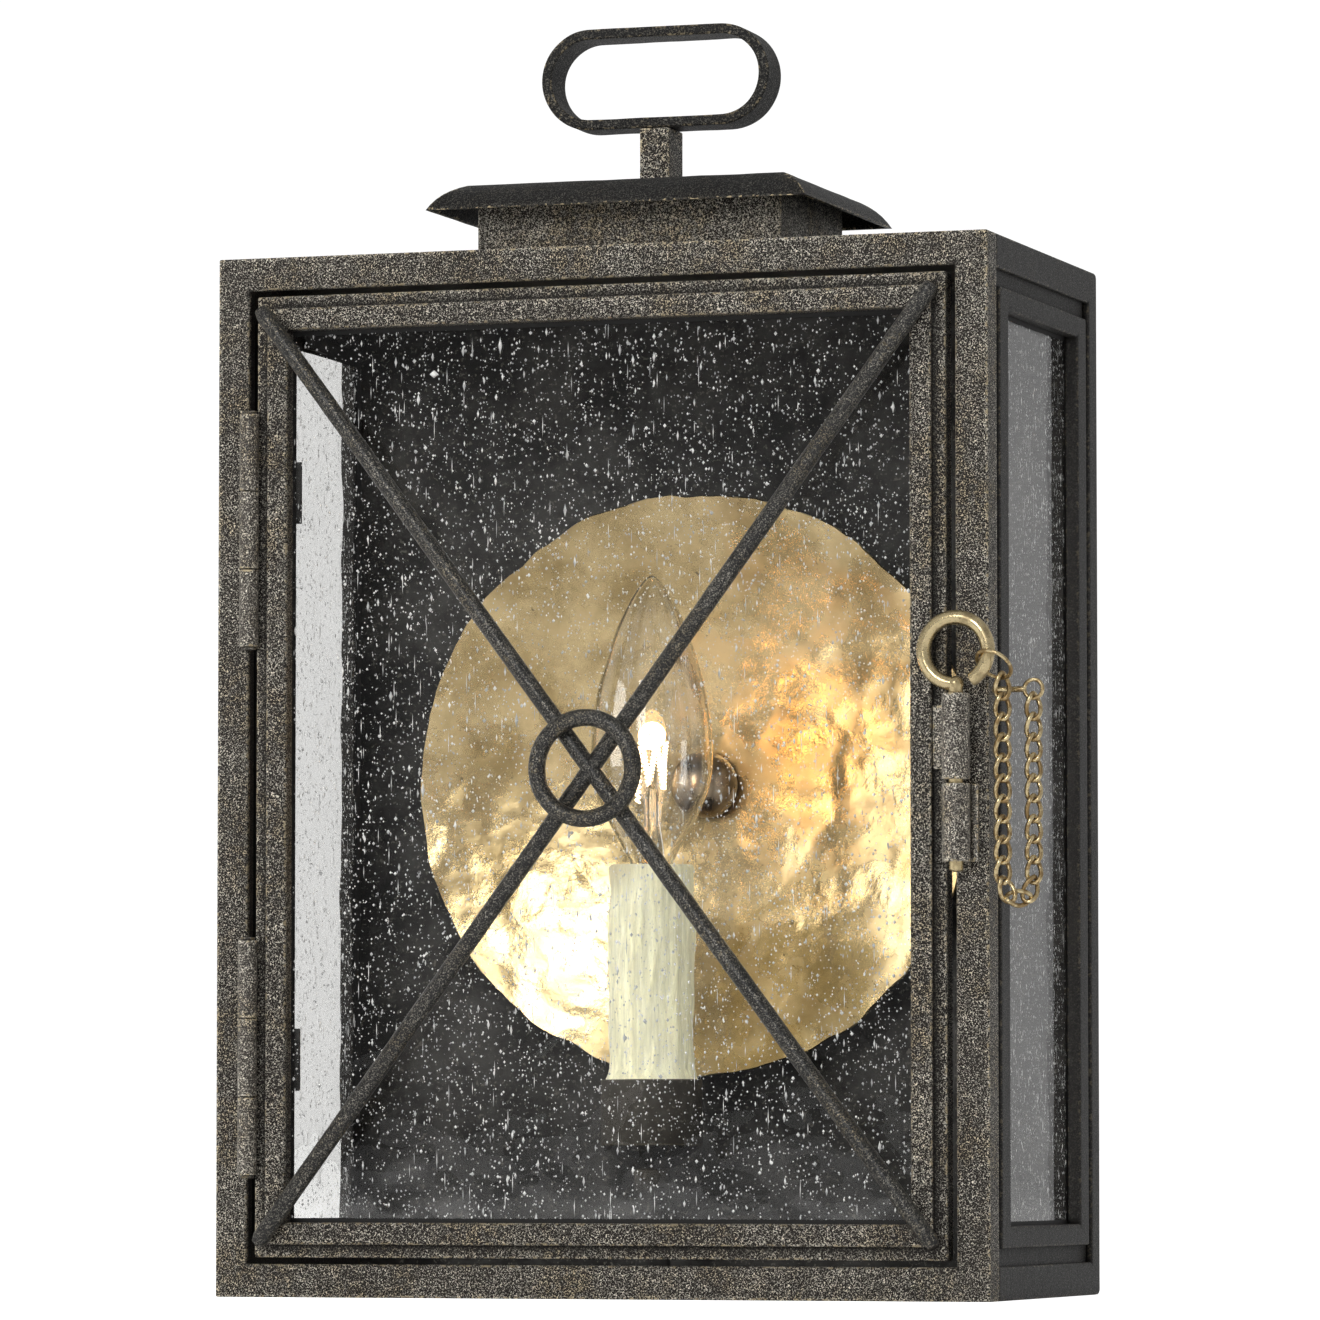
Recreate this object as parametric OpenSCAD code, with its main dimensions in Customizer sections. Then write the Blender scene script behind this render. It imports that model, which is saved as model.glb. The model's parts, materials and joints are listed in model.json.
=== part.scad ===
// Wall lantern: a sheet-steel box with a glazed door, two glazed sides, a candle lamp
// in front of a dished brass reflector, a small roof with a carrying loop, and a ring
// pin on a chain that locks the door.
// Millimetres, +Z up, front towards -Y. The origin is the centre of the wall crossbar,
// on the wall plane.

/* [Body] */
// Width of the box
body_w = 228; // [200:1:260]
// Height of the box, without the roof
body_h = 295; // [270:1:340]
// Depth of the box, from the wall to the front face
body_d = 114; // [105:1:150]
// Thickness of the frame and cover sheets
sheet_t = 2; // [1.5:0.1:2.5]
// Width of the angle bars round the front and the sides
bar_w = 9.4; // [8:0.1:12]
// Width of the post at the rear of each side
rear_post_w = 8.6; // [7:0.1:12]
// Depth of the hollow behind the back pan
recess_d = 10; // [9:0.5:14]
// Thickness of the back pan
pan_t = 1.2; // [0.8:0.1:1.6]

/* [Side windows] */
// Width of the groove in front of and behind each window frame
window_gap = 3; // [2:0.1:4]
// Height of the groove above and below each window frame
window_gap_z = 5; // [3:0.1:6]
// Width of the window frame's raised upright bars
window_bar_w = 9; // [6:0.1:11]
// Height of the window frame's raised top and bottom rails
window_rail_h = 6; // [5:0.1:9]
// Thickness of the flange behind the side frame
window_flange_t = 2; // [1.5:0.1:3]
// Width of the flange that lies behind the side frame
window_lap = 4; // [3:0.1:5]
// Thickness of every pane
glass_t = 3; // [2:0.1:4]
// Width of each pane that its frame covers
glass_lap = 3.5; // [2.5:0.1:4.5]

/* [Door] */
// Gap between the door and the frame's posts
door_gap_x = 2.6; // [2.2:0.1:3.2]
// Gap between the door and the frame's top and bottom bars
door_gap_z = 1.8; // [1:0.1:3]
// Width of the door's flat outer flange
door_flange_w = 3.7; // [3:0.1:5]
// Thickness of the door's flange
door_flange_t = 1.8; // [1.2:0.1:2.4]
// Width of the door's raised bars
door_bar_w = 6.2; // [5:0.1:8]
// Height of the raised bars above the flange
door_raise = 2; // [1.2:0.1:3]
// Thickness of the raised bars
door_bar_t = 5; // [4:0.1:6]
// How far the flange stands proud of the frame
door_proud = 0.3; // [0.2:0.05:0.6]
// Length of each glass clip
clip_l = 17.6; // [10:0.1:25]
// Thickness of the glass clips
clip_t = 1; // [0.8:0.1:1.4]
// How far a clip reaches past the bar into view
clip_show = 1.6; // [0.5:0.1:2.5]
// Distance of the clips from the middle of the door
clip_z = 80.5; // [60:0.5:95]

/* [Door rods and ring] */
// Diameter of the crossed rods
rod_d = 5; // [4:0.1:6.5]
// Distance from a rod's end to the door's side edge
rod_end_x = 3; // [2:0.1:6]
// Distance from a rod's end to the door's top or bottom edge
rod_end_z = 3.5; // [2:0.1:6]
// Outer diameter of the ring over the crossing
ring_d = 33.2; // [26:0.1:45]
// Diameter of the ring's bar
ring_bar_d = 5; // [4:0.1:6]

/* [Hinges] */
// Outer diameter of the hinge knuckles
hinge_d = 5.5; // [5:0.1:6.5]
// Diameter of the hinge pins
hinge_pin_d = 2.5; // [2:0.1:3]
// Length of one knuckle
knuckle_l = 21.8; // [18:0.1:26]
// Space between two knuckles
knuckle_gap = 0.4; // [0.3:0.05:0.8]
// Thickness of the hinge leaves
leaf_t = 0.9; // [0.7:0.05:1]
// Height of the upper hinge's middle above the origin
hinge_upper_z = 69.5; // [60:0.5:85]
// Distance of the lower hinge's middle below the origin
hinge_lower_z = 80; // [60:0.5:90]
// Radial clearance of a pin in its knuckle
hinge_fit = 0.05; // [0.02:0.01:0.09]

/* [Latch and chain] */
// Outer diameter of the latch barrels
latch_d = 7.8; // [7:0.1:9]
// Diameter of the ring pin
pin_d = 4; // [3.4:0.1:4.4]
// Radial clearance of the ring pin in the barrels
pin_fit = 0.08; // [0.04:0.01:0.1]
// Distance of the latch's axis from the box's side
latch_inset = 8; // [7:0.1:9.5]
// Length of the barrel on the door
door_barrel_l = 23.6; // [18:0.1:30]
// Length of the barrel on the frame
frame_barrel_l = 21.4; // [16:0.1:28]
// Space between the two barrels
barrel_gap = 1.2; // [0.6:0.1:2]
// Height of the door barrel's top above the origin
barrel_top_z = 19.1; // [10:0.1:30]
// Space between the front face and the barrels
barrel_gap_y = 0.7; // [0.5:0.1:1]
// How far the pin's tip shows below the frame's barrel
pin_tip = 2.8; // [1:0.1:6]
// Outer diameter of the pin's eye
eye_d = 22.4; // [18:0.1:27]
// Diameter of the wire of the chain, its jump ring and its eyelet
chain_wire_d = 1.1; // [0.9:0.05:1.2]
// Inner length of a chain link
link_l = 6.2; // [5.9:0.05:6.4]
// Inner width of a chain link
link_w = 3; // [2.9:0.05:3.1]
// Distance of the eyelet's eye from the box's side
eyelet_reach = 11.5; // [11:0.5:13]

/* [Roof and handle] */
// Width of the riser under the roof
riser_w = 91; // [70:1:110]
// Depth of the riser
riser_d = 59; // [45:1:65]
// Height of the riser
riser_h = 20; // [16:0.5:30]
// Thickness of the riser's walls
riser_t = 1.5; // [1:0.1:2]
// Distance of the roof's middle behind the front face
roof_back = 57; // [52:0.5:60]
// Space between the riser's sides and the roof's flaps
roof_side_gap = 0.4; // [0.2:0.1:8]
// Space between the riser's front and rear and the roof's flaps
roof_end_gap = 1.9; // [0.2:0.1:4]
// How far the roof's flaps reach out
flap_run = 9.5; // [6:0.5:13]
// How far the flaps drop
flap_drop = 8; // [5:0.5:11]
// Bow of the flaps
flap_bow = 1.2; // [0.5:0.1:2]
// Thickness of the roof
roof_t = 1.6; // [1.2:0.1:2]
// Width of the handle's stem
stem_w = 9; // [6:0.5:12]
// Depth of the handle's stem and loop
handle_d = 13; // [9:0.5:16]
// Height of the handle's stem
stem_h = 18; // [12:0.5:26]
// Outer width of the handle's loop
loop_w = 69; // [56:1:80]
// Outer height of the handle's loop
loop_h = 29.5; // [24:0.5:36]
// Thickness of the loop's band
loop_t = 3.2; // [2.5:0.1:4]

/* [Reflector and wall fixing] */
// Radius of the reflector disc
disc_r = 86; // [70:1:90]
// Depth of the reflector's dish
dish_depth = 15; // [10:0.5:20]
// Thickness of the reflector
disc_t = 1; // [0.8:0.1:1.5]
// Diameter of the dome nut
nut_d = 19; // [16:0.5:24]
// Diameter of the washer under the dome nut
washer_d = 16; // [14:0.5:18]
// Thickness of the washer
washer_t = 1.5; // [1:0.1:2]
// Outer diameter of the threaded nipple
nipple_d = 9.8; // [9:0.1:10.4]
// Bore of the nipple
nipple_bore = 7; // [5:0.1:7.4]
// Length of the crossbar on the wall
crossbar_l = 112; // [104:1:130]
// Width of the crossbar
crossbar_w = 15; // [13:0.5:20]
// Thickness of the crossbar
crossbar_t = 2.5; // [2:0.1:3]
// Distance between the crossbar's two screw holes
hole_spacing = 88.9; // [70:0.1:92]
// Diameter of the screw holes
hole_d = 4.6; // [4:0.1:5]

/* [Candle lamp] */
// Distance of the candle's axis behind the front face
candle_back = 49.5; // [42:0.5:54]
// Diameter of the stem under the cup
candle_stem_d = 10; // [8:0.5:13]
// Length of the stem
candle_stem_l = 34; // [24:0.5:40]
// Diameter of the cup
cup_d = 29; // [28.5:0.5:34]
// Height of the cup
cup_h = 25.5; // [18:0.5:30]
// Depth of the seat that the sleeve stands in
cup_seat = 4; // [2:0.5:8]
// Diameter of the candle sleeve
sleeve_d = 26.4; // [25:0.1:27]
// Wall of the candle sleeve
sleeve_t = 1.6; // [1:0.1:2]
// Height of the candle sleeve
sleeve_h = 65; // [55:0.5:75]
// Diameter of the lampholder
holder_d = 19; // [18:0.1:20]
// How far the lampholder's top is below the sleeve's top
holder_drop = 2; // [1:0.5:5]
// Diameter of the lamp's cap
cap_d = 12; // [11:0.1:13]
// Length of the lamp's cap
cap_l = 22; // [16:0.5:26]
// Largest diameter of the lamp
lamp_d = 35; // [30:0.5:38]
// Height of the lamp's envelope
lamp_h = 84; // [75:1:90]

/* [Hidden] */
$fn = 48;

// Small overlap of cutting tools past a face
cut = 1;

// The box
half_w = body_w / 2;
half_h = body_h / 2;
front_y = -body_d;
frame_back_y = front_y + bar_w;
inner_x = half_w - sheet_t;
inner_z = half_h - sheet_t;
pan_front_y = -recess_d - pan_t;

// The side windows
flange_x = inner_x - window_flange_t;
opening_front_y = frame_back_y;
opening_rear_y = -rear_post_w;
opening_half_z = half_h - bar_w;
window_front_y = opening_front_y + window_gap;
window_rear_y = opening_rear_y - window_gap;
window_half_z = opening_half_z - window_gap_z;
sight_front_y = window_front_y + window_bar_w;
sight_rear_y = window_rear_y - window_bar_w;
sight_half_z = window_half_z - window_rail_h;
pane_x = flange_x - glass_t;
clip_arm = 4;

// The door
door_half_w = half_w - bar_w - door_gap_x;
door_half_h = half_h - bar_w - door_gap_z;
bar_half_w = door_half_w - door_flange_w;
bar_half_h = door_half_h - door_flange_w;
door_sight_w = bar_half_w - door_bar_w;
door_sight_h = bar_half_h - door_bar_w;
door_front_y = front_y - door_proud;
bar_front_y = door_front_y - door_raise;
bar_rear_y = bar_front_y + door_bar_t;
door_lip_d = 6;
door_lip_t = 1.5;
pane_rear_y = bar_rear_y + glass_t;
door_clip_gap = 0.4;

// The crossed rods and their ring
rod_x = door_half_w - rod_end_x;
rod_z = door_half_h - rod_end_z;
rod_length = 2 * sqrt(rod_x * rod_x + rod_z * rod_z);
rod_angle = atan2(rod_z, rod_x);
rod_y = bar_front_y - rod_d / 2;
ring_y = rod_y - rod_d / 2 - ring_bar_d / 2;
lap_gap = 0.1;

// The hinges
hinge_x = -(half_w - bar_w - door_gap_x / 2);
hinge_gap_y = 0.25;
hinge_y = front_y - hinge_gap_y - hinge_d / 2;
hinge_l = 3 * knuckle_l + 2 * knuckle_gap;
leaf_d = 10;
leaf_relief = 0.35;
pin_head_h = 0.8;
pin_head_rim = 0.9;
pin_head_d = hinge_pin_d + 2 * pin_head_rim;
hinge_zs = [hinge_upper_z, -hinge_lower_z];

// The latch
latch_x = half_w - latch_inset;
latch_y = front_y - barrel_gap_y - latch_d / 2;
latch_leaf_t = 1.2;
// How far each latch leaf reaches past the middle of its barrel
leaf_under = 1;
door_barrel_z = barrel_top_z - door_barrel_l;
frame_barrel_top = door_barrel_z - barrel_gap;
frame_barrel_z = frame_barrel_top - frame_barrel_l;
pin_bottom_z = frame_barrel_z - pin_tip;
eye_r = (eye_d - pin_d) / 2;
eye_swelling = 0.25;
// Radius of the swelling where the pin turns into its eye
eye_root_r = pin_d / 2 + eye_swelling;
eye_seat = 0.3;
eye_z = barrel_top_z + eye_seat + eye_root_r + eye_r;
eye_cut = 28;

// The jump ring hangs in the eye at its lower right
jump_angle = -20;
jump_turn = 40;
jump_play = 0.25;
// How much wider the jump ring's centre line is than the pin's wire
jump_room = 3.2;
jump_r = pin_d / 2 + jump_room;
jump_inner_r = jump_r - chain_wire_d / 2;
jump_reach = eye_r + jump_inner_r - pin_d / 2 - jump_play;
jump_x = latch_x + jump_reach * cos(jump_angle);
jump_z = eye_z + jump_reach * sin(jump_angle);
// Unit vectors in the jump ring's own plane: along the eye's radius, and across it
jump_u = [cos(jump_angle), 0, sin(jump_angle)];
jump_v = [
    sin(jump_turn) * sin(jump_angle),
    cos(jump_turn),
    -sin(jump_turn) * cos(jump_angle)
];
// Lowest point of the jump ring's centre line
jump_fall = norm([jump_u[2], jump_v[2]]);
jump_low = [jump_x, latch_y, jump_z]
    - jump_r / jump_fall * (jump_u[2] * jump_u + jump_v[2] * jump_v);

// The eyelet on the side of the front post
eyelet_wire_d = 1.6;
eyelet_r = 2.6;
eyelet_x = half_w + eyelet_reach;
eyelet_y = front_y + bar_w / 2;
// How much lower the eyelet is than the jump ring
eyelet_fall = 2.8;
eyelet_z = jump_low[2] - eyelet_fall;

// The chain: a strand from the jump ring, a round bottom, and a strand to the eyelet
link_play = 0.1;
link_hang = chain_wire_d / 2 + link_play;
chain_bottom_z = -38;
chain_start = jump_low + [0, 0, link_hang];
chain_end = [eyelet_x, eyelet_y, eyelet_z - eyelet_r + link_hang];
chain_across = [chain_end[0] - chain_start[0], chain_end[1] - chain_start[1], 0];
chain_bend_r = norm(chain_across) / 2;
chain_heading = atan2(chain_across[1], chain_across[0]);
chain_bend_z = chain_bottom_z + chain_bend_r;
fall_l = chain_start[2] - chain_bend_z;
bend_l = PI * chain_bend_r;
chain_l = fall_l + bend_l + chain_end[2] - chain_bend_z;
// An even number of links, so that the last one stands across the eyelet
chain_links = 2 * ceil(chain_l / (2 * (link_l - 2 * link_play)));
link_pitch = chain_l / chain_links;
fall_links = floor(fall_l / link_pitch);

// The roof and the handle
roof_y = front_y + roof_back;
roof_z = half_h + riser_h + roof_t;
// Size of the roof's flat top, which covers the riser
roof_top_w = riser_w + 2 * (roof_t + roof_side_gap);
roof_top_d = riser_d + 2 * (roof_t + roof_end_gap);
loop_r = loop_h / 2;
loop_z = roof_z + stem_h + loop_r;
flap_steps = 6;

// The reflector and the wall fixing
dish_r = (disc_r * disc_r + dish_depth * dish_depth) / (2 * dish_depth);
nipple_fit = 0.2;
// Radial clearance where a thread is drawn as a plain cylinder in its hole
thread_fit = 0.05;
// The washer's flat back touches the dish at its rim
washer_back_y = pan_front_y - dish_r + sqrt(pow(dish_r - disc_t, 2) - pow(washer_d / 2, 2));
washer_y = washer_back_y - washer_t;
nut_base_h = 2.5;
nut_crown = 4.4;
nut_bore_l = nut_base_h + nut_d / 2 - nut_crown;
lock_nut_h = 3;
lock_nut_af = 14;
ground_x = 24;
ground_d = 4;
bushing_x = 0;
// Height of the supply wires' hole above the floor
bushing_rise = 15;
bushing_z = -(inner_z - bushing_rise);
bushing_hole_d = 10;
bushing_bore_d = 7;
bushing_flange_d = 14;
bushing_flange_t = 1.2;

// The candle
candle_y = front_y + candle_back;
floor_z = -inner_z;
stem_wall = 1.5;
cup_z = floor_z + candle_stem_l;
cup_foot_h = 7;
sleeve_z = cup_z + cup_h - cup_seat;
sleeve_top = sleeve_z + sleeve_h;
cup_fit = 0.1;
holder_top = sleeve_top - holder_drop;
cap_fit = 0.1;
// Space under the lamp's cap in its socket
cap_room = 0.5;
// How far the cap stands out of the socket
cap_rise = 1;
cap_top = holder_top + cap_rise;
lamp_t = 1;
// How much narrower the lamp's neck is than its cap, on each side
neck_step = 0.2;
lamp_neck_r = cap_d / 2 - neck_step;
// Glass stem inside the lamp, and the filament on it
press_h = 26;
press_foot_d = 8;
press_top_d = 5;
support_h = 14;
support_sunk = 2;
filament_wire_r = 0.4;
filament_r = 5;
lamp_belly = 0.36;
lamp_steps = 20;

function plate_grey() = [0.20, 0.18, 0.16];
function bronze() = [0.27, 0.24, 0.20];
function old_brass() = [0.62, 0.50, 0.28];

// Flat ring with its outline in the XY plane
module flat_ring(outer_half, inner_half) {
    difference() {
        square([2 * outer_half[0], 2 * outer_half[1]], center = true);
        square([2 * inner_half[0], 2 * inner_half[1]], center = true);
    }
}

// A rectangle ring that faces the front, from y1 back to y2
module front_ring(outer_half, inner_half, y1, y2) {
    translate([0, y2, 0])
        rotate([90, 0, 0])
            linear_extrude(height = y2 - y1)
                flat_ring(outer_half, inner_half);
}

// A box from two opposite corners
module span(a, b) {
    translate(a)
        cube(b - a);
}

// A cylinder along Y, from y1 back to y2
module y_rod(r, x, y1, y2, z) {
    translate([x, y2, z])
        rotate([90, 0, 0])
            cylinder(h = y2 - y1, r = r);
}

// A six-sided bar along Y, with its size across the flats
module y_hexagon(across, x, y1, y2, z) {
    translate([x, y2, z])
        rotate([90, 0, 0])
            cylinder(h = y2 - y1, r = across / sqrt(3), $fn = 6);
}

module front_frame() {
    color(bronze()) {
        front_ring([half_w, half_h], [half_w - bar_w, half_h - bar_w], front_y, front_y + sheet_t);
        front_ring([half_w, half_h], [inner_x, inner_z], front_y, frame_back_y);
    }
}

// Side sheet with two rails and a rear post; its rails end at the front frame
module side_frame() {
    color(bronze())
        difference() {
            span([inner_x, frame_back_y, -half_h], [half_w, 0, half_h]);
            span(
                [inner_x - cut, opening_front_y - cut, -opening_half_z],
                [half_w + cut, opening_rear_y, opening_half_z]
            );
        }
}

module left_side_frame() {
    mirror([1, 0, 0])
        side_frame();
}

module right_side_frame() {
    side_frame();
}

module top_plate() {
    color(plate_grey())
        span([-inner_x, frame_back_y, inner_z], [inner_x, 0, half_h]);
}

module bottom_plate() {
    color(plate_grey())
        span([-inner_x, frame_back_y, -half_h], [inner_x, 0, -inner_z]);
}

// Tray with its rim to the wall, pierced for the nipple and the supply wires
module back_pan() {
    color(plate_grey())
        difference() {
            span([-flange_x, pan_front_y, -inner_z], [flange_x, 0, inner_z]);
            span(
                [-flange_x + pan_t, -recess_d, -inner_z + pan_t],
                [flange_x - pan_t, cut, inner_z - pan_t]
            );
            y_rod(nipple_d / 2 + nipple_fit, 0, pan_front_y - cut, 0, 0);
            y_rod(bushing_hole_d / 2, bushing_x, pan_front_y - cut, 0, bushing_z);
        }
}

// Window frame: a raised ring in the opening and a flange behind the side sheet
module window_frame() {
    color(bronze())
        difference() {
            union() {
                span([flange_x, window_front_y, -window_half_z], [half_w, window_rear_y, window_half_z]);
                span(
                    [flange_x, opening_front_y - window_lap, -opening_half_z - window_lap],
                    [inner_x, opening_rear_y + window_lap, opening_half_z + window_lap]
                );
            }
            span(
                [flange_x - cut, sight_front_y, -sight_half_z],
                [half_w + cut, sight_rear_y, sight_half_z]
            );
        }
}

module left_window_frame() {
    mirror([1, 0, 0])
        window_frame();
}

module right_window_frame() {
    window_frame();
}

module window_glass() {
    color([0.75, 0.78, 0.76, 0.35])
        span(
            [pane_x, sight_front_y - glass_lap, -sight_half_z - glass_lap],
            [flange_x, sight_rear_y + glass_lap, sight_half_z + glass_lap]
        );
}

module left_window_glass() {
    mirror([1, 0, 0])
        window_glass();
}

module right_window_glass() {
    window_glass();
}

// Bent clip against the inner face of a window frame, at one corner of the pane
module window_clip(z_side) {
    edge_z = sight_half_z + glass_lap;
    mid_y = (sight_front_y + sight_rear_y) / 2;
    translate([0, mid_y - clip_l / 2, 0])
        mirror([0, 0, z_side])
            rotate([-90, 0, 0])
                linear_extrude(height = clip_l)
                    polygon([
                        [pane_x, -edge_z + clip_arm],
                        [pane_x, -edge_z - clip_t],
                        [flange_x, -edge_z - clip_t],
                        [flange_x, -edge_z - clip_t - clip_arm],
                        [flange_x - clip_t, -edge_z - clip_t - clip_arm],
                        [flange_x - clip_t, -edge_z - 2 * clip_t],
                        [pane_x - clip_t, -edge_z - 2 * clip_t],
                        [pane_x - clip_t, -edge_z + clip_arm]
                    ]);
}

module window_glass_clips() {
    color(plate_grey())
        for (side = [0, 1])
            for (end = [0, 1])
                mirror([side, 0, 0])
                    window_clip(end);
}

module roof_riser() {
    color(bronze())
        difference() {
            span(
                [-riser_w / 2, roof_y - riser_d / 2, half_h],
                [riser_w / 2, roof_y + riser_d / 2, half_h + riser_h]
            );
            span(
                [-riser_w / 2 + riser_t, roof_y - riser_d / 2 + riser_t, half_h - cut],
                [riser_w / 2 - riser_t, roof_y + riser_d / 2 - riser_t, half_h + riser_h + cut]
            );
        }
}

// One side of the roof's outline: a bowed flap, moved inwards by the depth given
function flap_point(top_half, u, depth) =
    let (
        slope = atan2(flap_drop, flap_run),
        bow = flap_bow * 4 * u * (1 - u) - depth
    )
    [
        top_half + flap_run * u + bow * sin(slope),
        roof_z - flap_drop * u + bow * cos(slope)
    ];

// Roof outline: the flat top between two flaps
module roof_outline(top_half, depth) {
    right = [for (i = [0:flap_steps]) flap_point(top_half, i / flap_steps, depth)];
    left = [for (i = [flap_steps:-1:0]) [-right[i][0], right[i][1]]];
    polygon(concat(right, left));
}

// Solid under the roof's skin: two crossed prisms, which meet in mitred corners
module roof_solid(depth) {
    reach = roof_top_w + roof_top_d;
    intersection() {
        translate([0, roof_y + reach / 2, 0])
            rotate([90, 0, 0])
                linear_extrude(height = reach)
                    roof_outline(roof_top_w / 2, depth);
        translate([-reach / 2, roof_y, 0])
            rotate([90, 0, 90])
                linear_extrude(height = reach)
                    roof_outline(roof_top_d / 2, depth);
    }
}

module roof_plate() {
    color(bronze())
        difference() {
            roof_solid(0);
            intersection() {
                roof_solid(roof_t);
                span(
                    [-body_w, roof_y - body_w, 0],
                    [body_w, roof_y + body_w, roof_z - roof_t]
                );
            }
        }
}

module handle_stem() {
    color(bronze())
        span(
            [-stem_w / 2, roof_y - handle_d / 2, roof_z],
            [stem_w / 2, roof_y + handle_d / 2, roof_z + stem_h]
        );
}

// Flat shape with round ends
module stadium(w, h) {
    square([w - h, h], center = true);
    for (side = [-1, 1])
        translate([side * (w - h) / 2, 0])
            circle(d = h, $fn = 72);
}

module handle_loop() {
    color(bronze())
        translate([0, roof_y + handle_d / 2, loop_z])
            rotate([90, 0, 0])
                linear_extrude(height = handle_d)
                    difference() {
                        stadium(loop_w, loop_h);
                        stadium(loop_w - 2 * loop_t, loop_h - 2 * loop_t);
                    }
}

// Part of a spherical shell, with a hole for the nipple
module reflector_disc() {
    color(old_brass())
        difference() {
            intersection() {
                translate([0, pan_front_y - dish_r, 0])
                    rotate([90, 0, 0])
                        difference() {
                            sphere(r = dish_r, $fn = 160);
                            sphere(r = dish_r - disc_t, $fn = 160);
                        }
                y_rod(disc_r, 0, pan_front_y - 2 * dish_depth, pan_front_y + cut, 0, $fn = 160);
            }
            y_rod(nipple_d / 2 + nipple_fit, 0, pan_front_y - dish_depth, pan_front_y + cut, 0);
        }
}

module reflector_washer() {
    color(old_brass())
        difference() {
            y_rod(washer_d / 2, 0, washer_y, washer_back_y, 0);
            y_rod(nipple_d / 2 + nipple_fit, 0, washer_y - cut, washer_back_y + cut, 0);
        }
}

// Blind nut: a short collar and a dome, with a bore that stops short of its crown
module dome_nut() {
    color(old_brass())
        translate([0, washer_y, 0])
            rotate([90, 0, 0])
                rotate_extrude($fn = 64)
                    difference() {
                        union() {
                            square([nut_d / 2, nut_base_h]);
                            translate([0, nut_base_h])
                                intersection() {
                                    circle(d = nut_d);
                                    square(nut_d);
                                }
                        }
                        translate([0, -cut])
                            square([nipple_d / 2 + thread_fit, nut_bore_l + cut]);
                    }
}

module threaded_nipple() {
    tip_gap = 0.2;
    tip_y = washer_y - nut_bore_l + tip_gap;
    color([0.55, 0.53, 0.48])
        difference() {
            y_rod(nipple_d / 2, 0, tip_y, 0, 0);
            y_rod(nipple_bore / 2, 0, tip_y - cut, cut, 0);
        }
}

module wall_crossbar() {
    color([0.6, 0.6, 0.6])
        difference() {
            span([-crossbar_l / 2, -crossbar_t, -crossbar_w / 2], [crossbar_l / 2, 0, crossbar_w / 2]);
            for (side = [-1, 1])
                y_rod(hole_d / 2, side * hole_spacing / 2, -crossbar_t - cut, cut, 0);
            y_rod(nipple_d / 2 + thread_fit, 0, -crossbar_t - cut, cut, 0);
            y_rod(ground_d / 2 + thread_fit, ground_x, -crossbar_t - cut, cut, 0);
        }
}

module nipple_lock_nut() {
    color([0.6, 0.6, 0.6])
        difference() {
            y_hexagon(lock_nut_af, 0, -crossbar_t - lock_nut_h, -crossbar_t, 0);
            y_rod(nipple_d / 2 + thread_fit, 0, -crossbar_t - lock_nut_h - cut, -crossbar_t + cut, 0);
        }
}

module ground_screw() {
    head_h = 2.4;
    color([0.2, 0.45, 0.25]) {
        y_rod(ground_d / 2, ground_x, -crossbar_t - head_h, 0, 0);
        y_rod(ground_d, ground_x, -crossbar_t - head_h, -crossbar_t, 0);
    }
}

// Plastic bush that lines the supply wires' hole in the back pan
module wire_bushing() {
    color([0.1, 0.1, 0.1])
        difference() {
            union() {
                y_rod(bushing_hole_d / 2, bushing_x, pan_front_y, -recess_d + bushing_flange_t, bushing_z);
                y_rod(bushing_flange_d / 2, bushing_x, pan_front_y - bushing_flange_t, pan_front_y, bushing_z);
                y_rod(bushing_flange_d / 2, bushing_x, -recess_d, -recess_d + bushing_flange_t, bushing_z);
            }
            y_rod(bushing_bore_d / 2, bushing_x, pan_front_y - 2 * cut - bushing_flange_t, 0, bushing_z);
        }
}

// Hollow stem that carries the cup, with a collar on the floor
module candle_stem() {
    collar_h = 3;
    collar_rim = 6;
    collar_d = candle_stem_d + 2 * collar_rim;
    color(plate_grey())
        translate([0, candle_y, floor_z])
            difference() {
                union() {
                    cylinder(h = candle_stem_l, d = candle_stem_d);
                    cylinder(h = collar_h, d = collar_d);
                }
                translate([0, 0, -cut])
                    cylinder(h = candle_stem_l + 2 * cut, d = candle_stem_d - 2 * stem_wall);
            }
}

// Round cup with a rolled foot; its floor is pierced for the leads
module candle_cup() {
    foot_lip = 1;
    color(plate_grey())
        translate([0, candle_y, cup_z])
            rotate_extrude($fn = 64)
                difference() {
                    union() {
                        translate([0, cup_foot_h])
                            square([cup_d / 2, cup_h - cup_foot_h]);
                        polygon([
                            [0, 0],
                            [candle_stem_d / 2 + foot_lip, 0],
                            [cup_d / 2, cup_foot_h],
                            [0, cup_foot_h]
                        ]);
                    }
                    translate([0, cup_h - cup_seat])
                        square([sleeve_d / 2 + cup_fit, cup_seat + cut]);
                    translate([0, cup_foot_h])
                        square([sleeve_d / 2 - sleeve_t, cup_h]);
                    translate([0, -cut])
                        square([candle_stem_d / 2 - stem_wall, cup_h]);
                }
}

module candle_sleeve() {
    color([0.80, 0.80, 0.66])
        translate([0, candle_y, sleeve_z])
            difference() {
                cylinder(h = sleeve_h, d = sleeve_d, $fn = 64);
                translate([0, 0, -cut])
                    cylinder(h = sleeve_h + 2 * cut, d = sleeve_d - 2 * sleeve_t, $fn = 64);
            }
}

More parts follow.
